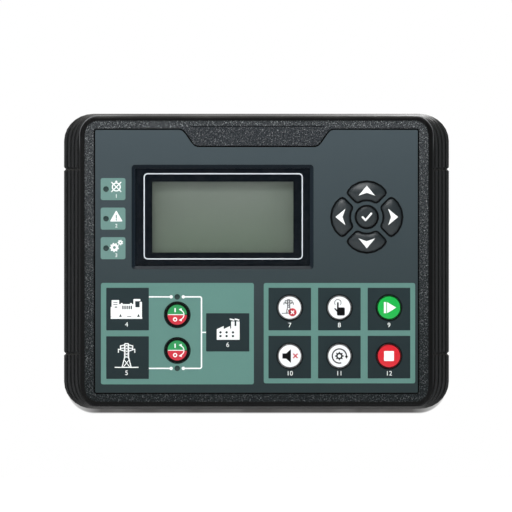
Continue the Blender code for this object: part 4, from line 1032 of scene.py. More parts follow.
class Symbols:
    """The generic pictograms, drawn round the print's point in its unit."""

    ENGINE_BLOCKS: ClassVar[tuple] = (
        (0, -4.9, 18, 1.0), (-6.3, 0.3, 4.3, 10.0, 0.3), (-8.6, -1.4, 0.7, 5.6),
        (0.4, -0.7, 9.4, 7.4, 0.3), (-2.7, 3.0, 1.0, 1.2), (2.6, 3.0, 1.0, 1.2),
        (6.4, -1.6, 3.4, 5.6), (8.2, -0.2, 1.3, 9.0, 0.3), (4.5, 4.0, 1.0, 2.8),
        (6.0, 5.3, 4.0, 1.2, 0.4))
    ENGINE_OPENINGS: ClassVar[tuple] = (
        *((-2.0 + 1.2 * vent, 1.1, 0.75, 2.0, 0.1) for vent in range(5)),
        (-6.3, 3.9, 2.4, 0.35), (-6.3, 2.8, 2.4, 0.35), (-6.0, 1.3, 1.4, 0.6))
    MAST_BARS: ClassVar[tuple] = (
        ((2.6, -6.7), (1.15, -1.0)), ((1.15, -1.2), (1.15, 6.8)), ((1.15, 6.2), (3.6, 5.6)),
        ((3.5, 5.8), (3.5, 3.6)), ((1.15, 4.4), (3.4, 4.2)), ((1.15, 2.6), (4.8, 3.8)),
        ((4.7, 3.9), (4.7, 1.7)))
    WORKS_OUTLINE: ClassVar[tuple] = (
        (-6.5, -5.4), (6.5, -5.4), (6.5, 5.0), (4.6, 5.0), (4.6, 2.4), (3.6, 2.4), (3.6, 5.0),
        (1.7, 5.0), (1.7, 1.0), (1.1, 1.0), (1.1, 2.4), (-2.3, 0.8), (-2.6, 0.8), (-2.6, 2.4),
        (-6.5, 0.6))

    @staticmethod
    def ray(angle: float, *reaches: float) -> list[Point]:
        """Points at some distances from the middle, at an angle in degrees."""
        way = (math.cos(math.radians(angle)), math.sin(math.radians(angle)))
        return [(way[0] * reach, way[1] * reach) for reach in reaches]

    @staticmethod
    def beacon(ink: Print) -> None:
        """An alarm lamp: a crossed disc with four rays, 1 unit across.

        Args:
            ink: The print that it is drawn in.
        """
        radius = 0.34
        ink.arc(0, 0, radius, 0.10)
        for angle in (45, 135, 225, 315):
            ink.bar(*Symbols.ray(angle, radius * 1.1, radius * 1.75), 0.09)
            ink.bar(*Symbols.ray(angle, 0.0, radius), 0.08)
        ink.disc(0, radius * 1.35, 0.09, 16)

    @staticmethod
    def warning(ink: Print, cover: Print) -> None:
        """A warning triangle 1 unit wide, with its mark in the colour of the ground.

        Args:
            ink: The print that it is drawn in.
            cover: The print in the colour of the ground, on top of it.
        """
        ink.polygon([(-0.5, -0.4), (0.5, -0.4), (0, 0.475)], corner=0.08)
        cover.box(0, -0.02, 0.09, 0.30)
        cover.disc(0, -0.27, 0.06, 16)

    @staticmethod
    def gears(ink: Print, cover: Print) -> None:
        """Two meshing wheels with open hubs, about 1 unit across.

        Args:
            ink: The print that it is drawn in.
            cover: The print in the colour of the ground, on top of it.
        """
        ink.cog(-0.12, -0.10, 0.27, 9, 0.08)
        ink.cog(0.33, 0.27, 0.15, 7, 0.06, 0.3)
        cover.disc(-0.12, -0.10, 0.11, 24)
        cover.disc(0.33, 0.27, 0.055, 16)

    @staticmethod
    def engine(ink: Print, cover: Print) -> None:
        """An engine with its generator on a common frame, 18 units long.

        Args:
            ink: The print that it is drawn in.
            cover: The print in the colour of the ground, on top of it.
        """
        for block in Symbols.ENGINE_BLOCKS:
            ink.box(*block)
        for opening in Symbols.ENGINE_OPENINGS:
            cover.box(*opening)
        for foot in (-3.4, 6.9):
            cover.polygon([(-0.8, -0.9), (0.8, -0.9), (0, 0.9)], foot, -3.4)
        cover.box(1.6, -4.1, 2.4, 0.35)

    @staticmethod
    def pylon(ink: Print, width: float) -> None:
        """A lattice mast with two pairs of arms, 14 units high.

        Args:
            ink: The print that it is drawn in.
            width: Width of its lines, in metres.
        """
        line, mast, foot = width / ink.unit, 1.15, -6.7
        for side in (-1, 1):
            for start, end in Symbols.MAST_BARS:
                ink.bar((side * start[0], start[1]), (side * end[0], end[1]), line)
            ink.bar((-side * 1.9, foot + 0.1), (side * 1.2, -2.6), line * 0.8)
            for rung in range(5):
                low = -1.4 + 1.6 * rung
                ink.bar((-side * mast, low), (side * mast, low + 1.4), line * 0.62)
        ink.bar((-mast, 6.9), (mast, 6.9), line)
        ink.bar((-6.6, foot), (6.6, foot), line, round_ends=True)

    @staticmethod
    def works(ink: Print, cover: Print) -> None:
        """A works hall with a saw-tooth roof and two smoking stacks, 13 units wide.

        Args:
            ink: The print that it is drawn in.
            cover: The print in the colour of the ground, on top of it.
        """
        ink.polygon(Symbols.WORKS_OUTLINE)
        for stack in (2.2, 5.0):
            ink.box(stack, 6.1, 2.8, 0.8, 0.35, math.radians(-14))
        for column in (-4.4, -0.9, 2.7):
            for row in (-1.2, -3.3):
                cover.disc(column, row, 0.72, 8)

    @staticmethod
    def cross(ink: Print, half: float, line: float) -> None:
        """A diagonal cross of some half width."""
        ink.bar((-half, -half), (half, half), line)
        ink.bar((-half, half), (half, -half), line)

    @staticmethod
    def hand(ink: Print) -> None:
        """A pointing hand that presses on a ring, 10 units high.

        Args:
            ink: The print that it is drawn in.
        """
        ink.box(-0.9, 0.9, 1.0, 4.6, 0.45)
        ink.box(0.9, -2.3, 4.7, 4.8, 0.8)
        ink.bar((-2.6, -0.6), (-0.9, -2.6), 0.8, round_ends=True)
        ink.arc(-0.9, 2.9, 1.9, 0.35, -40, 260)

    @staticmethod
    def horn(ink: Print) -> None:
        """A loudspeaker from the side, 10 units wide."""
        ink.polygon([(-4.2, -1.6), (-1.9, -1.6), (1.0, -4.2), (1.0, 4.2), (-1.9, 1.6),
                     (-4.2, 1.6)])

    @staticmethod
    def cycle(ink: Print) -> None:
        """A toothed ring inside a turning arrow, 1 unit across.

        Args:
            ink: The print that it is drawn in.
        """
        ink.arc(0, 0, 0.40, 0.07, -8, 293)
        ink.polygon([(-0.10, 0.06), (0.10, 0.06), (0, -0.10)], 0.40, -0.06)
        ink.arc(0, 0, 0.14, 0.09)
        for tooth in range(8):
            ink.bar(*Symbols.ray(45 * tooth, 0.17, 0.24), 0.07)


@dataclass
class Bezel:
    """The moulded frame: ribbed rim, grained face and bare tab."""

    bed_margin: float = 1.1 * MM        # how far the film's bed reaches past the film
    recess_margin: float = 4.0 * MM     # how far the painted shade of the recess reaches past the pane
    tab: Box = (0.0, 76.9 * MM, 48.0 * MM, 7.0 * MM)

    def build(self) -> None:
        """Makes the moulding with smooth corners in place of its solid."""
        film, (low, high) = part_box("front_overlay")[1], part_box("display_window")
        look = GrainedMoulding(
            "bezel_black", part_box("front_bezel")[0].y,
            (0.0, 0.0, film.x + self.bed_margin, film.z + self.bed_margin),
            (*middle("display_window"), (high.x - low.x) / 2 + self.recess_margin,
             (high.z - low.z) / 2 + self.recess_margin), self.tab)
        publish("bezel_moulding", merged("front_bezel"), look, "bezel_plastic",
                replaces=["front_bezel"], smooth=26, ledge=9)


@dataclass
class Overlay:
    """The printed film, with its panels, tiles, lines and pictograms."""

    lamps: tuple[str, ...] = ("alarm", "warning", "running")
    upper_keys: tuple[str, ...] = ("test_on_load", "manual", "start")
    lower_keys: tuple[str, ...] = ("mute", "auto", "stop")
    panel_corner: float = 1.3 * MM
    tile_corner: float = 0.4 * MM
    key_hole: float = 7.88 * MM
    lamp_hole: float = 1.75 * MM
    line: float = 0.85 * MM
    left_panel: Box = (-49.2 * MM, -45.0 * MM, 95.1 * MM, 63.1 * MM)
    right_panel: Box = (51.6 * MM, -44.7 * MM, 94.2 * MM, 62.4 * MM)
    indicator: Point = (15.4 * MM, 13.7 * MM)
    indicator_shift: float = 4.4 * MM
    tile: float = 26.5 * MM
    supply_x: float = -80.2 * MM
    supply_rows: Point = (-29.7 * MM, -59.9 * MM)
    key_rows: Point = (-29.7 * MM, -59.6 * MM)
    load_tile: Box = (-17.9 * MM, -44.2 * MM, 26.9 * MM, 23.8 * MM)
    sign_shift: float = 6.4 * MM        # from a lamp to its sign and number
    captions: float = 2.8 * MM
    ok_ring: float = 0.74 * MM
    hole_ring: float = 0.42 * MM
    ring_inset: float = 0.12 * MM       # how far a ring reaches over the edge of its hole
    arrow_gap: float = 1.0 * MM         # from the flat front of an arrow key to its hole
    arrow_line: float = 0.66 * MM
    edge_line: float = 0.28 * MM
    rim_band: float = 2 * MM            # the film's edge lies in this band
    tab_depth: float = 15 * MM          # and the tab's in this one, below the top
    tab_line: Box = (0.6 * MM, 83.9 * MM, 83.0 * MM, 0.62 * MM)
    riser: float = -34.2 * MM           # X of the diagram's upright line
    bend: float = 1.1 * MM
    contact: float = 3.8 * MM           # from a lamp to the dots beside it
    contact_size: float = 1.05 * MM

    def build(self) -> None:
        """Dresses the film and prints it layer by layer."""
        self.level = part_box("front_overlay")[0].y
        dress(FILM, "front_overlay")
        self.print_panels()
        self.print_tiles()
        self.print_signs()
        self.print_rings()
        dark = Print()
        dark.box(*self.tab_line)
        dark.piece("tab_line_print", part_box("front_bezel")[0].y, INK_BLACK, "bezel_plastic")
        self.print_edge()

    def print_panels(self) -> None:
        """The two green panels and the three indicator tiles."""
        green, pale = Print(), Print()
        holes = [(*middle(f"{kind}_{name}{end}"), radius) for kind, end, radius
                 in (("key", "_breaker", self.key_hole), ("lamp", "", self.lamp_hole))
                 for name in ("genset", "mains")]
        green.box(*self.left_panel, self.panel_corner, holes=holes)
        holes = [(*middle(f"key_{name}"), self.key_hole)
                 for name in self.upper_keys + self.lower_keys]
        green.box(*self.right_panel, self.panel_corner, holes=holes)
        green.piece("panel_print", self.level, PANEL_GREEN)
        for name in self.lamps:
            x, z = middle(f"lamp_{name}")
            pale.box(x + self.indicator_shift, z, *self.indicator, self.panel_corner,
                     holes=[(x, z, self.lamp_hole)])
        pale.piece("indicator_print", self.level, TILE_GREEN)

    def print_tiles(self) -> None:
        """The dark tiles of the supplies, the load and the mode keys."""
        dark = Print()
        for z in self.supply_rows:
            dark.box(self.supply_x, z, self.tile, self.tile, self.tile_corner)
        dark.box(*self.load_tile, self.tile_corner)
        for row, names in zip(self.key_rows, (self.upper_keys, self.lower_keys)):
            for x, z in (middle(f"key_{name}") for name in names):
                dark.box(x, row, self.tile, self.tile, self.tile_corner,
                         holes=[(x, z, self.key_hole)])
        dark.piece("tile_print", self.level - INK, TILE_DARK)

    def print_signs(self) -> None:
        """The white lines, the pictograms and the plain numbers."""
        white, on_green, on_dark = Print(), Print(), Print()
        self.draw_wiring(white)
        alarm, warning, running = (middle(f"lamp_{name}") for name in self.lamps)
        supply = self.supply_x

        def both(cover: Print, *place: float) -> tuple[Print, Print]:
            """Sets the white ink and a cover to the same place and unit."""
            return white.at(*place), cover.at(*place)

        Symbols.beacon(white.at(alarm[0] + self.sign_shift, alarm[1] + 1.3 * MM, 7.2 * MM))
        Symbols.warning(*both(on_green, warning[0] + self.sign_shift, warning[1] + 1.4 * MM,
                              7.92 * MM))
        Symbols.gears(*both(on_green, running[0] + 6.2 * MM, running[1] + 1.3 * MM, 8.28 * MM))
        Symbols.engine(*both(on_dark, supply - 0.7 * MM, -29.9 * MM, 19.6 * MM / 18))
        Symbols.pylon(white.at(supply - 0.6 * MM, -58.7 * MM, 15.2 * MM / 14), 0.60 * MM)
        Symbols.works(*both(on_dark, -17.6 * MM, -42.9 * MM, 14.2 * MM / 13))
        white.at(0.0, 0.0, 1.0)
        for number, (x, z) in enumerate(self.number_places(), 1):
            share = 0.8 if number <= len(self.lamps) else 1.0
            white.numeral(x, z, number, self.captions * share)
        white.piece("white_print", self.level - 2 * INK, INK_WHITE)
        on_green.piece("indicator_detail_print", self.level - 3 * INK, TILE_GREEN)
        on_dark.piece("tile_detail_print", self.level - 3 * INK, TILE_DARK)

    def number_places(self) -> list[Point]:
        """Where the plain numbers stand, in reading order.

        Returns:
            X and Z of each.
        """
        lamps = [middle(f"lamp_{name}") for name in self.lamps]
        places = [(x + self.sign_shift, z - 4.5 * MM) for x, z in lamps]
        places += [(self.supply_x - 0.6 * MM, z * MM) for z in (-39.4, -69.5)]
        places.append((self.load_tile[0], -52.0 * MM))
        for names, z in ((self.upper_keys, -39.8 * MM), (self.lower_keys, -69.8 * MM)):
            places += [(middle(f"key_{name}")[0], z) for name in names]
        return places

    def draw_wiring(self, ink: Print) -> None:
        """The line diagram from the two supplies to the load.

        Args:
            ink: The print that it is drawn in.
        """
        start = self.riser - self.bend
        load_x, branch, width, _ = self.load_tile
        for name, way in (("lamp_genset", -1), ("lamp_mains", 1)):
            x, z = middle(name)
            ink.bar((self.supply_x + self.tile / 2, z), (x - self.contact + 0.1 * MM, z),
                    self.line)
            for side in (-1, 1):
                ink.disc(x + side * self.contact, z, self.contact_size, 24)
            ink.bar((x + self.contact, z), (start, z), self.line)
            ink.arc(start, z + way * self.bend, self.bend, self.line, -way * 90, way * 90)
            ink.bar((self.riser, z + way * self.bend), (self.riser, branch), self.line)
        ink.bar((self.riser - self.line / 2, branch), (load_x - width / 2, branch), self.line)

    def print_rings(self) -> None:
        """The black lines round every key hole: printed rings that also stand in for the shade in
        the gap round each key.
        """
        # Print and painted shade: each ring reaches over its hole's edge into the shaded gap.
        black = Print()
        for node in sorted(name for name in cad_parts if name.startswith("key_")):
            if node.removeprefix("key_") in Keys.turns:
                black.keep(self.arrow_ring(node))
                continue
            low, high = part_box(node)
            hole = (high.x - low.x) / 2 - FLANGE + KEY_GAP
            ring = self.ok_ring if node == "key_ok" else self.hole_ring
            black.arc(*middle(node), hole + ring / 2 - self.ring_inset, ring)
        black.piece("key_ring_and_gap_shade_print", self.level - 2 * INK, INK_BLACK)

    def arrow_ring(self, node: str) -> Shape:
        """The line that follows the hole of one arrow key.

        Args:
            node: The key's solid, whose cap gives the outline.

        Returns:
            The line as a flat shape in X and Y.
        """
        cap = front_of(node)
        bmesh.ops.dissolve_faces(cap, faces=cap.faces[:])
        cap.transform(FACE_ON.inverted())
        outline = max(cap.faces, key=lambda face: face.calc_area())
        corners = [vert.co.xy.copy() for vert in outline.verts]
        cap.free()
        if sum(here.cross(after) for here, after in zip(corners, corners[1:] + corners[:1])) < 0:
            corners.reverse()
        ring, sides = bmesh.new(), []
        for reach in (self.arrow_gap, self.arrow_gap + self.arrow_line):
            verts = []
            for before, here, after in zip(corners[-1:] + corners[:-1], corners,
                                           corners[1:] + corners[:1]):
                arriving, leaving = (here - before).normalized(), (after - here).normalized()
                out = Vector((arriving.y + leaving.y, -arriving.x - leaving.x)).normalized()
                stretch = max(out.dot(Vector((arriving.y, -arriving.x))), 0.5)
                verts.append(ring.verts.new((*(here + out * (reach / stretch)), 0.0)))
            sides += [ring.edges.new(pair) for pair in zip(verts, verts[1:] + verts[:1])]
        bmesh.ops.bridge_loops(ring, edges=sides)
        ring.normal_update()
        if sum(face.normal.z for face in ring.faces) < 0:
            bmesh.ops.reverse_faces(ring, faces=ring.faces[:])
        return ring

    def print_edge(self) -> None:
        """The dark line along the film's outer edge and round the tab, printed black as painted
        shade of the groove beside the film.
        """
        shape = front_of("front_overlay")
        inside = shape.faces[:]
        bmesh.ops.inset_region(shape, faces=inside, thickness=self.edge_line,
                               use_even_offset=True, use_boundary=True)
        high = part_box("front_overlay")[1]
        spare = set(inside)
        for face in shape.faces:
            centre = face.calc_center_median()
            if (abs(centre.x) < high.x - self.rim_band and abs(centre.z) < high.z - self.rim_band
                    and centre.z < high.z - self.tab_depth):
                spare.add(face)
        bmesh.ops.delete(shape, geom=list(spare), context="FACES")
        shape.transform(FACE_ON.inverted())
        bmesh.ops.scale(shape, vec=(1.0, 1.0, 0.0), verts=shape.verts[:])
        # Painted shade: black print where the groove beside the film falls dark.
        dark = Print()
        dark.keep(shape)
        dark.piece("film_edge_shade_print", self.level, INK_BLACK)


@dataclass
class Display:
    """The smoked pane with its printed line, and the display behind it."""

    view: Point = (88.1 * MM, 44.4 * MM)
    view_centre: Point = (-20.95 * MM, 27.55 * MM)
    line_size: Point = (99.1 * MM, 53.7 * MM)
    line_centre: Point = (-20.7 * MM, 28.0 * MM)
    line: float = 0.72 * MM
    line_corner: float = 2.5 * MM

    def build(self) -> None:
        """Dresses pane, display, frame and backlight, and prints the line."""
        dress(SmokedPane("pane_smoked", self.view_centre, *self.view), "display_window")
        dress(LiquidCrystal("lcd_face", self.view_centre, *self.view), "lcd_glass")
        dress(SHELL_STEEL, "lcd_frame")
        dress(DIFFUSER, "lcd_backlight")
        part = rounded_rectangle(*self.line_size, self.line_corner)
        inside = part.faces[:]
        bmesh.ops.inset_region(part, faces=inside, thickness=self.line, use_even_offset=True,
                               use_boundary=True)
        bmesh.ops.delete(part, geom=inside, context="FACES_ONLY")
        silver = Print()
        silver.keep(part, *self.line_centre)
        silver.piece("window_line_print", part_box("display_window")[0].y, INK_SILVER,
                     "window_pane")


@dataclass
class Keys:
    """Thirteen key caps with the symbols printed on them."""

    caps: ClassVar[dict[str, tuple[Finish, str]]] = {
        "start": (CAP_GREEN, "key_green"), "stop": (CAP_RED, "key_red"),
        "genset_breaker": (CAP_JET, "key_dark"), "mains_breaker": (CAP_JET, "key_dark"),
        **dict.fromkeys(("test_on_load", "manual", "mute", "auto"), (CAP_WHITE, "key_white"))}
    turns: ClassVar[dict[str, int]] = {"up": 0, "left": 1, "down": 2, "right": 3}
    set_back: float = 0.06 * MM             # room for the print in front of a cap
    round_edge: float = 0.16 * MM
    flange_level: float = 3.3 * MM          # from the bezel's face back to the flange
    flange_depth: float = 1.2 * MM
    stem: float = 1.8 * MM
    rim_inset: float = 0.14 * MM            # of the black line round a coloured cap
    rim_line: float = 0.46 * MM
    arrow_reach: float = 16.2 * MM          # from the pad's middle to an arrow head
    arrow_head: tuple = ((0, 3.3), (5.1, -2.9), (0, -1.1), (-5.1, -2.9))
    breaker_radius: float = 6.0 * MM
    breaker_split: float = 0.2 * MM         # how far each half stays off the middle

    def build(self) -> None:
        """Makes every cap and prints it."""
        for node in sorted(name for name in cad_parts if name.startswith("key_")):
            name = node.removeprefix("key_")
            look, slot = self.caps.get(name, (CAP_DARK, "key_dark"))
            shape = self.arrow_cap(node) if name in self.turns else self.round_cap(node)
            publish(f"cap_{name}", shape, look, slot, f"{name}_key", [node], smooth=50)
            self.print_cap(name, slot)

    def arrow_cap(self, node: str) -> Shape:
        """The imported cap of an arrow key, with its front set back for the print.

        Args:
            node: The key's solid.

        Returns:
            The cap, in place.
        """
        shape, front = merged(node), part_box(node)[0].y
        for vert in shape.verts:
            if vert.co.y < front + NEAR:
                vert.co.y += self.set_back
        return shape

    def round_cap(self, node: str) -> Shape:
        """A round cap with a rounded edge, its flange and its stem.

        Args:
            node: The key's solid, whose sizes it keeps.

        Returns:
            The cap, in place.
        """
        low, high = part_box(node)
        x, z = middle(node)
        flange = (high.x - low.x) / 2
        radius, top, edge = flange - FLANGE, low.y + self.set_back, self.round_edge
        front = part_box("front_bezel")[0].y + self.flange_level
        rear = front + self.flange_depth
        angles = [step * math.pi / 8 for step in range(5)]
        arc = [(radius - edge + edge * math.sin(angle), top + edge - edge * math.cos(angle))
               for angle in angles]
        shape = turned([(0.0, top), *arc, (radius, front), (flange, front), (flange, rear),
                        (self.stem, rear), (self.stem, high.y), (0.0, high.y)], ROUND)
        bmesh.ops.recalc_face_normals(shape, faces=shape.faces[:])
        shape.transform(Matrix.Translation((x, 0.0, z)))
        return shape

    def print_cap(self, name: str, slot: str) -> None:
        """Prints the symbols of one key.

        Args:
            name: The key's name.
            slot: The record's material slot of the key.
        """
        low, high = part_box(f"key_{name}")
        x, z = middle(f"key_{name}")
        green, red, black, white = inks = [Print().at(x, z) for _ in range(4)]
        if name in self.turns:
            angle, (x, z) = self.turns[name] * math.pi / 2, middle("key_ok")
            white.at(x - self.arrow_reach * math.sin(angle), z + self.arrow_reach * math.cos(angle))
            white.polygon(self.arrow_head, turn=angle)
        elif name == "ok":
            for start, end in (((-2.6, -0.1), (-0.8, -2.0)), ((-0.8, -2.0), (2.8, 2.1))):
                white.bar(start, end, 1.2, round_ends=True)
        elif name.endswith("_breaker"):
            self.draw_breaker(white, red, green)
        elif name == "test_on_load":
            Symbols.pylon(black.at(x - 0.7 * MM, z + 0.7 * MM, 8.8 * MM / 14), 0.40 * MM)
            red.disc(1.7, -2.9, 2.5)
            Symbols.cross(white.at(x + 1.7 * MM, z - 2.9 * MM), 0.95, 0.7)
        elif name == "manual":
            Symbols.hand(black.at(x, z, 1.05 * MM))
        elif name == "mute":
            Symbols.horn(black.at(x - 0.3 * MM, z, 1.02 * MM))
            Symbols.cross(red.at(x + 3.5 * MM, z + 0.1 * MM), 1.35, 0.75)
        elif name == "auto":
            Symbols.cycle(black.at(x, z, 11.0 * MM))
        elif name == "start":
            white.box(-2.45, 0, 1.5, 6.9)
            white.polygon([(-1.2, -3.5), (4.5, 0.0), (-1.2, 3.5)])
        elif name == "stop":
            white.box(0, 0, 6.2, 6.2, 0.5)
        if slot != "key_dark":
            edge = (high.x - low.x) / 2 - FLANGE - self.round_edge
            black.at(x, z, 1.0).arc(0, 0, edge - self.rim_inset, self.rim_line)
        looks = (("green", INK_GREEN), ("red", INK_RED), ("black", INK_BLACK),
                 ("white", INK_WHITE))
        for ink, (colour, finish) in zip(inks, looks):
            if ink.shape.faces:
                level = low.y + self.set_back - (INK if ink is white else 0.0)
                ink.piece(f"{name}_{colour}_symbol", level, finish, slot, f"{name}_key")

    def draw_breaker(self, white: Print, red: Print, green: Print) -> None:
        """Green and red halves with the closed and open marks.

        Args:
            white: Print for the marks.
            red: Print for the lower half.
            green: Print for the upper half.
        """
        for ink, turn in ((green, 0.0), (red, math.pi)):
            part = bmesh.new()
            bmesh.ops.create_circle(part, cap_ends=True, segments=ROUND,
                                    radius=self.breaker_radius)
            bmesh.ops.bisect_plane(part, geom=[*part.verts, *part.edges, *part.faces],
                                   plane_co=(0, 0, 0), plane_no=(0, 1, 0), clear_inner=True)
            part.transform(Matrix.Translation((0, self.breaker_split, 0)))
            ink.keep(part, turn=turn)
        white.box(-1.0, 0.1, 9.6, 0.5)
        white.box(-1.3, 2.9, 0.8, 2.6)
        white.arc(-1.3, -2.9, 1.0, 0.65)
        white.arc(1.1, 0, 3.1, 0.55, -62, 124)
        for side in (-1, 1):
            head = [(0.9, side * -1.1), (0.5, side * 1.0), (-1.3, side * 0.3)]
            white.polygon(head, 2.2, side * 3.1)


@dataclass
class Lamps:
    """Five light pipes that end flush in the film."""

    names: tuple[str, ...] = ("alarm", "warning", "running", "genset", "mains")
    radius: float = 1.6 * MM
    round_edge: float = 0.25 * MM

    def build(self) -> None:
        """Makes each lens round in place of its solid."""
        for name in self.names:
            low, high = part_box(f"lamp_{name}")
            x, z = middle(f"lamp_{name}")
            shape = bmesh.new()
            place = Matrix.Translation((x, (low.y + high.y) / 2, z)) @ FACE_ON
            bmesh.ops.create_cone(shape, cap_ends=True, segments=ROUND // 2, depth=high.y - low.y,
                                  radius1=self.radius, radius2=self.radius, matrix=place)
            rims = [edge for edge in shape.edges
                    if len(edge.link_faces) == 2 and edge.calc_face_angle(0) > 1]
            rounded(shape, rims, self.round_edge, 4)
            publish(f"lens_{name}", shape, LIGHT_PIPE, "light_pipe", replaces=[f"lamp_{name}"],
                    smooth=35)


@dataclass
class Fixings:
    """Clips, their screws, and the screws that hold the boards and the housing."""

    knurls: int = 24
    knurl_from: float = 3.7 * MM        # radius past which a knob is knurled
    knurl_depth: float = 0.93
    tip: tuple = ((0.0, 0.0), (2.6, 0.0), (3.0, 0.4), (3.0, 1.5), (2.0, 1.5))
    knob: tuple = ((2.0, -5.0), (3.4, -5.0), (3.8, -4.5), (3.8, -0.6), (3.2, 0.0), (0.0, 0.0))

    def build(self) -> None:
        """Dresses the fixings."""
        dress(CLIP_STEEL, "mounting_clip_")
        dress(ZINC, "board_screw_", "housing_screw_")
        for number in range(1, 5):
            self.clip_screw(number)

    def clip_screw(self, number: int) -> None:
        """Makes one clip screw round, with a knurled head.

        Args:
            number: Which of the four it is.
        """
        node = f"clip_screw_{number}"
        low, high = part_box(node)
        x, z = middle(node)
        profile = [(radius * MM, end + along * MM) for end, corners
                   in ((low.y, self.tip), (high.y, self.knob)) for radius, along in corners]
        shape = turned(profile, 2 * self.knurls)
        for vert in shape.verts:
            turn = math.atan2(vert.co.z, vert.co.x) / math.pi * self.knurls
            if math.hypot(vert.co.x, vert.co.z) > self.knurl_from and round(turn) % 2:
                vert.co.x *= self.knurl_depth
                vert.co.z *= self.knurl_depth
        bmesh.ops.recalc_face_normals(shape, faces=shape.faces[:])
        shape.transform(Matrix.Translation((x, 0.0, z)))
        publish(f"clip_knob_{number}", shape, YELLOW_ZINC, "clip_screw_steel", replaces=[node],
                smooth=25)


@dataclass
class RearSide:
    """Housing, gasket, boards, socket and terminals behind the panel."""

    ways: int = 8
    pitch: float = 5.08 * MM
    number_z: float = 53.6 * MM
    number_height: float = 1.9 * MM
    rule_drop: float = 2.0 * MM
    rule_line: float = 0.3 * MM
    mouth_depth: float = 9.0 * MM
    mouth_wall: float = 1.45 * MM
    floor_depth: float = 0.5 * MM
    tongue: tuple[float, float, float] = (4.7 * MM, 7.75 * MM, 2.9 * MM)
    contact: tuple[float, float, float] = (0.9 * MM, 6.95 * MM, 0.16 * MM)
    block_edge: float = 0.05 * MM
    plug_depth: float = 12.0 * MM       # the part of a plug that holds the wells
    well: float = 1.6 * MM              # from the plug's end to the foot of a screw head
    head: Point = (1.35 * MM, 1.1 * MM)         # radius and height of a screw head
    slot: Point = (0.45 * MM, 0.5 * MM)         # width and depth of its slot

    def build(self) -> None:
        """Dresses everything behind the panel."""
        dress(HOUSING, "rear_housing")
        dress(GASKET, "panel_gasket")
        dress(LAMINATE, "front_board", "io_board")
        dress(PART_BLACK, "board_link", "buzzer")
        dress(SHELL_STEEL, "usb_port")
        dress(HEADER, "terminal_header_")
        dress(PLUG, "terminal_plug_")
        for number in range(1, 7):
            self.terminal_screws(number)
        self.print_numbers()
        self.socket_insert()

    def way_places(self, centre: float) -> list[float]:
        """Where the ways of a terminal with this centre lie along X."""
        return [centre + (way - (self.ways - 1) / 2) * self.pitch for way in range(self.ways)]

    def terminal_screws(self, number: int) -> None:
        """Makes the slotted screws in the wells of one plug.

        Args:
            number: Which of the six plugs it is.
        """
        low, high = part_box(f"terminal_plug_{number}")
        below = low.z < 0
        z = low.z + self.plug_depth / 2 if below else high.z - self.plug_depth / 2
        shape = bmesh.new()
        for way, x in enumerate(self.way_places((low.x + high.x) / 2)):
            head = self.slotted_head()
            head.transform(Matrix.Translation((x, high.y - self.well, z))
                           @ Matrix.Rotation(-math.pi / 2, 4, "X")
                           @ Matrix.Rotation(math.radians(17 * way * way + 40 * number), 4, "Z"))
            add_shape(shape, head)
        publish(f"terminal_screws_{number}", shape, ZINC, "zinc_screw", smooth=35)

    def slotted_head(self) -> Shape:
        """A screw head that stands on the XY plane, with a straight slot along X.

        Returns:
            The head.
        """
        (radius, height), (width, depth) = self.head, self.slot
        head = bmesh.new()
        bmesh.ops.create_circle(head, cap_ends=True, segments=24, radius=radius)
        raise_faces(head, head.faces[:], height)

        def top() -> list[bmesh.types.BMFace]:
            """The faces on top."""
            return [face for face in head.faces
                    if all(vert.co.z > height * 0.99 for vert in face.verts)]

        for side in (-1, 1):
            parts = {item for face in top() for item in (*face.verts, *face.edges)} | set(top())
            bmesh.ops.bisect_plane(head, geom=list(parts), plane_co=(0, side * width / 2, 0),
                                   plane_no=(0, 1, 0))
        raise_faces(head, [face for face in top()
                           if abs(face.calc_center_median().y) < width / 2], -depth)
        bmesh.ops.recalc_face_normals(head, faces=head.faces[:])
        return head

    def print_numbers(self) -> None:
        """Numbers every terminal on the housing beside it, from one to forty-eight."""
        silver = Print()
        plugs = sorted((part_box(f"terminal_plug_{number}") for number in range(1, 7)),
                       key=lambda box: (-round(box[0].z, 3), -box[0].x))
        number = 0
        for low, high in plugs:
            x, half = -(low.x + high.x) / 2, (high.x - low.x) / 2
            z = math.copysign(self.number_z, high.z)
            for place in self.way_places(x):
                number += 1
                silver.numeral(place, z, number, self.number_height)
            rule = z - math.copysign(self.rule_drop, z)
            silver.bar((x - half, rule), (x + half, rule), self.rule_line)
        silver.piece("terminal_number_print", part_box("rear_housing")[1].y, INK_SILVER,
                     "housing_plastic", rear=True)

    def socket_insert(self) -> None:
        """The black insulator in the service socket, with its four contacts."""
        low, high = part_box("usb_port")
        x, z = middle("usb_port")
        width, _, height = self.tongue
        shape, contacts = bmesh.new(), bmesh.new()
        floor = (high.x - low.x - 2 * self.mouth_wall, self.floor_depth,
                 high.z - low.z - 2 * self.mouth_wall)
        blocks = [(shape, 0.0, 0.0, floor), (shape, 0.0, 0.0, self.tongue)]
        blocks += [(contacts, side * width / 4, up * height / 2, self.contact)
                   for side in (-1, 1) for up in (-1, 1)]
        for target, across, up, size in blocks:
            centre = (x + across, high.y - self.mouth_depth + size[1] / 2, z + up)
            place = Matrix.Translation(centre) @ Matrix.Diagonal((*size, 1.0))
            made = bmesh.ops.create_cube(target, size=1.0, matrix=place)["verts"]
            rounded(target, list({edge for vert in made for edge in vert.link_edges}),
                    self.block_edge, 2)
        publish("socket_insulator", shape, PART_BLACK, "connector_plastic")
        publish("socket_contacts", contacts, GILT, "usb_shell")


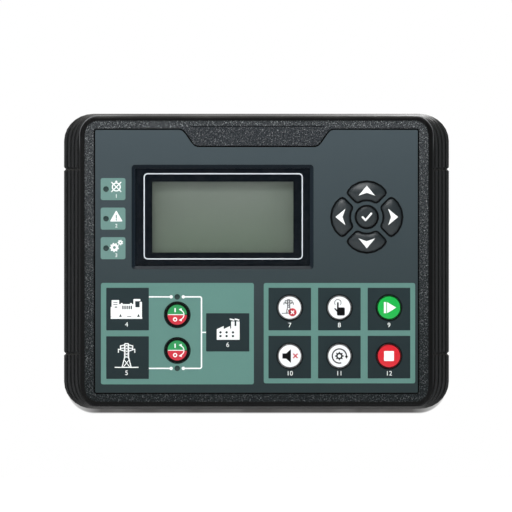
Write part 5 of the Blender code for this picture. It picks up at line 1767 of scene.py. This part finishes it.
@dataclass
class Studio:
    """Wall and floor, lights, world and camera."""

    view_width: float = 318.4 * MM      # what the photograph shows across, at the face
    view_x: float = -0.3 * MM
    view_z: float = 3.3 * MM
    distance: float = 4.0
    sensor: float = 36.0
    view_depth: float = 50.0
    floor_drop: float = 45.0 * MM
    floor_size: float = 14.0
    floor_glow: float = 0.75
    wall_gap: float = 0.8 * MM
    wall_size: float = 1.6
    shadow_corner: float = 18.0 * MM
    shadow_edge: Point = (0.5 * MM, 0.4 * MM)   # how far inside and outside its edge it fades
    shadow_drop: float = 3.7 * MM
    shadow_ends: Point = (98 * MM, 132 * MM)    # where it fades along X
    shadow_rise: Point = (4 * MM, 12 * MM)      # and below the corners' centres
    shadow_near: Colour = srgb(40, 40, 40)
    shadow_far: Colour = srgb(82, 81, 80)
    side_light: float = 0.20
    sky_light: float = 0.46
    mirror_front: float = 0.04
    lights: tuple = (                   # name, place, width and height, power, seen in gloss
        ("softbox_over", (-0.10, -0.50, 0.62), (0.42, 0.26), 4.6, True),
        ("lamp_front", (0.02, -3.0, 0.40), (0.16, 0.16), 32.0, False),
        ("softbox_left", (-1.3, -1.1, 0.45), (0.5, 0.9), 2.4, True),
        ("softbox_rear", (0.5, 1.2, 0.8), (0.8, 0.6), 9.0, True))

    def build(self) -> None:
        """Sets up the studio."""
        floor = Matrix.Translation((0.0, 0.0, CAD_BOX[0][2] - self.floor_drop))
        self.build_plane("floor", floor, self.floor_size, self.floor_look())
        wall = Matrix.Translation((0.0, CAD_BOX[1][1] + self.wall_gap, 0.0)) @ FACE_ON
        self.build_plane("wall", wall, self.wall_size, self.wall_look())
        self.build_world()
        for light in self.lights:
            self.add_light(*light)
        self.add_camera()
        bpy.context.scene.view_settings.view_transform = "Standard"

    def build_plane(self, name: str, place: Matrix, size: float, look: Material) -> None:
        """Adds a square stage plane.

        Args:
            name: Its name.
            place: Where it lies.
            size: Its side.
            look: Its material.
        """
        shape = bmesh.new()
        bmesh.ops.create_grid(shape, x_segments=1, y_segments=1, size=size / 2, matrix=place)
        place_in_scene(name, shape, look)

    def floor_look(self) -> Material:
        """The floor's pale surface, which is white to the camera.

        Returns:
            The finished material.
        """
        made, wiring = open_material("floor_white")
        seen = wiring.node("LightPath").outputs["Is Camera Ray"]
        tone = wiring.ramp(wiring.noise(wiring.place(), 3.0), 0.0, 1.0, 0.80, 0.84)
        shade = wiring.node("BsdfDiffuse", {"Color": tone})
        glow = wiring.node("Emission", {"Strength": wiring.times(seen, self.floor_glow)})
        wiring.end(wiring.node("AddShader", {0: shade.outputs[0], 1: glow.outputs[0]}))
        return made

    def wall_look(self) -> Material:
        """The white wall, which only the camera sees, and from the front, so the rear stays lit.

        Returns:
            Its material, with a painted tight soft shadow along the lower edge.
        """
        made, wiring = open_material("wall_white")
        ramp = wiring.ramp
        seen = wiring.node("LightPath").outputs["Is Camera Ray"]
        behind = wiring.node("NewGeometry").outputs["Backfacing"]
        shown = wiring.times(seen, wiring.minus(1.0, behind))
        place = wiring.place()
        across, _, up = wiring.split(place)
        # Painted shadow: a soft grey band below the lower edge that follows the outline and fades
        # at the ends.
        half = (CAD_BOX[1][0] - self.shadow_corner, CAD_BOX[1][2] - self.shadow_corner)
        reach = wiring.outside(across, wiring.plus(up, self.shadow_drop), half)
        inside = ramp(reach, self.shadow_corner - self.shadow_edge[0],
                      self.shadow_corner + self.shadow_edge[1], 1.0, 0.0)
        fade = ramp(wiring.size(across), *self.shadow_ends, 1.0, 0.0)
        cloud = ramp(wiring.noise(place, 70.0), 0.3, 0.7, 0.95, 1.0)
        lower = ramp(up, *(-half[1] - rise for rise in self.shadow_rise))
        bottom = CAD_BOX[0][2]
        grey = wiring.mix(ramp(up, bottom - 1.4 * MM, bottom + 0.2 * MM), self.shadow_far,
                          self.shadow_near)
        tone = wiring.mix(wiring.times(inside, fade, cloud, lower), WHITE, grey)
        glow = wiring.node("Emission", {"Color": tone, "Strength": 1.0})
        clear = wiring.node("BsdfTransparent")
        wiring.end(wiring.node("MixShader", {0: shown, 1: clear.outputs[0], 2: glow.outputs[0]}))
        return made

    def build_world(self) -> None:
        """A room that is brighter above, and white to the camera, in glass and in metal."""
        world = bpy.data.worlds.new("room")
        bpy.context.scene.world = world
        world.use_nodes = True
        wiring = Wiring(world.node_tree)
        path = wiring.node("LightPath").outputs
        _, along, up = wiring.split(wiring.node("TexCoord").outputs["Generated"])
        ambient = wiring.ramp(up, -0.3, 0.9, self.side_light, self.sky_light)
        rear = wiring.ramp(along, -0.1, 0.85, self.mirror_front, 1.0)
        mirrored = wiring.times(path["Is Glossy Ray"], wiring.minus(rear, ambient))
        seen = wiring.math("MAXIMUM", path["Is Camera Ray"], path["Is Transmission Ray"])
        strength = wiring.math("MAXIMUM", wiring.plus(ambient, mirrored), seen)
        wiring.end(wiring.node("Background", {"Color": WHITE, "Strength": strength}), "World")

    def add_light(self, name: str, place: tuple[float, float, float], size: Point, power: float,
                  mirrored: bool) -> None:
        """Adds one softbox that looks at the object.

        Args:
            name: Its name.
            place: Where it stands.
            size: Its width and height.
            power: Its power in watts.
            mirrored: Whether glossy surfaces show it.
        """
        lamp = bpy.data.lights.new(name, "AREA")
        lamp.shape = "RECTANGLE"
        lamp.size, lamp.size_y = size
        lamp.energy = power
        holder = bpy.data.objects.new(name, lamp)
        holder.location = place
        holder.visible_glossy = mirrored
        holder.rotation_euler = (-Vector(place)).to_track_quat("-Z", "Y").to_euler()
        bpy.context.scene.collection.objects.link(holder)

    def add_camera(self) -> None:
        """A long lens straight in front, framed as the photograph."""
        lens = bpy.data.cameras.new("camera")
        lens.sensor_width = self.sensor
        lens.lens = self.sensor * self.distance / self.view_width
        lens.clip_end = self.view_depth
        camera = bpy.data.objects.new("camera", lens)
        camera.location = (self.view_x, CAD_BOX[0][1] - self.distance, self.view_z)
        camera.rotation_euler = (math.pi / 2, 0.0, 0.0)
        bpy.context.scene.collection.objects.link(camera)
        bpy.context.scene.camera = camera


def main() -> None:
    """Builds the controller's looks in order, then the studio."""
    logging.basicConfig(level=logging.INFO, format="%(name)s %(message)s")
    for part in (Bezel(), Overlay(), Display(), Keys(), Lamps(), Fixings(), RearSide(), Studio()):
        LOG.info("building %s", type(part).__name__)
        part.build()


if __name__ == "__main__":
    main()
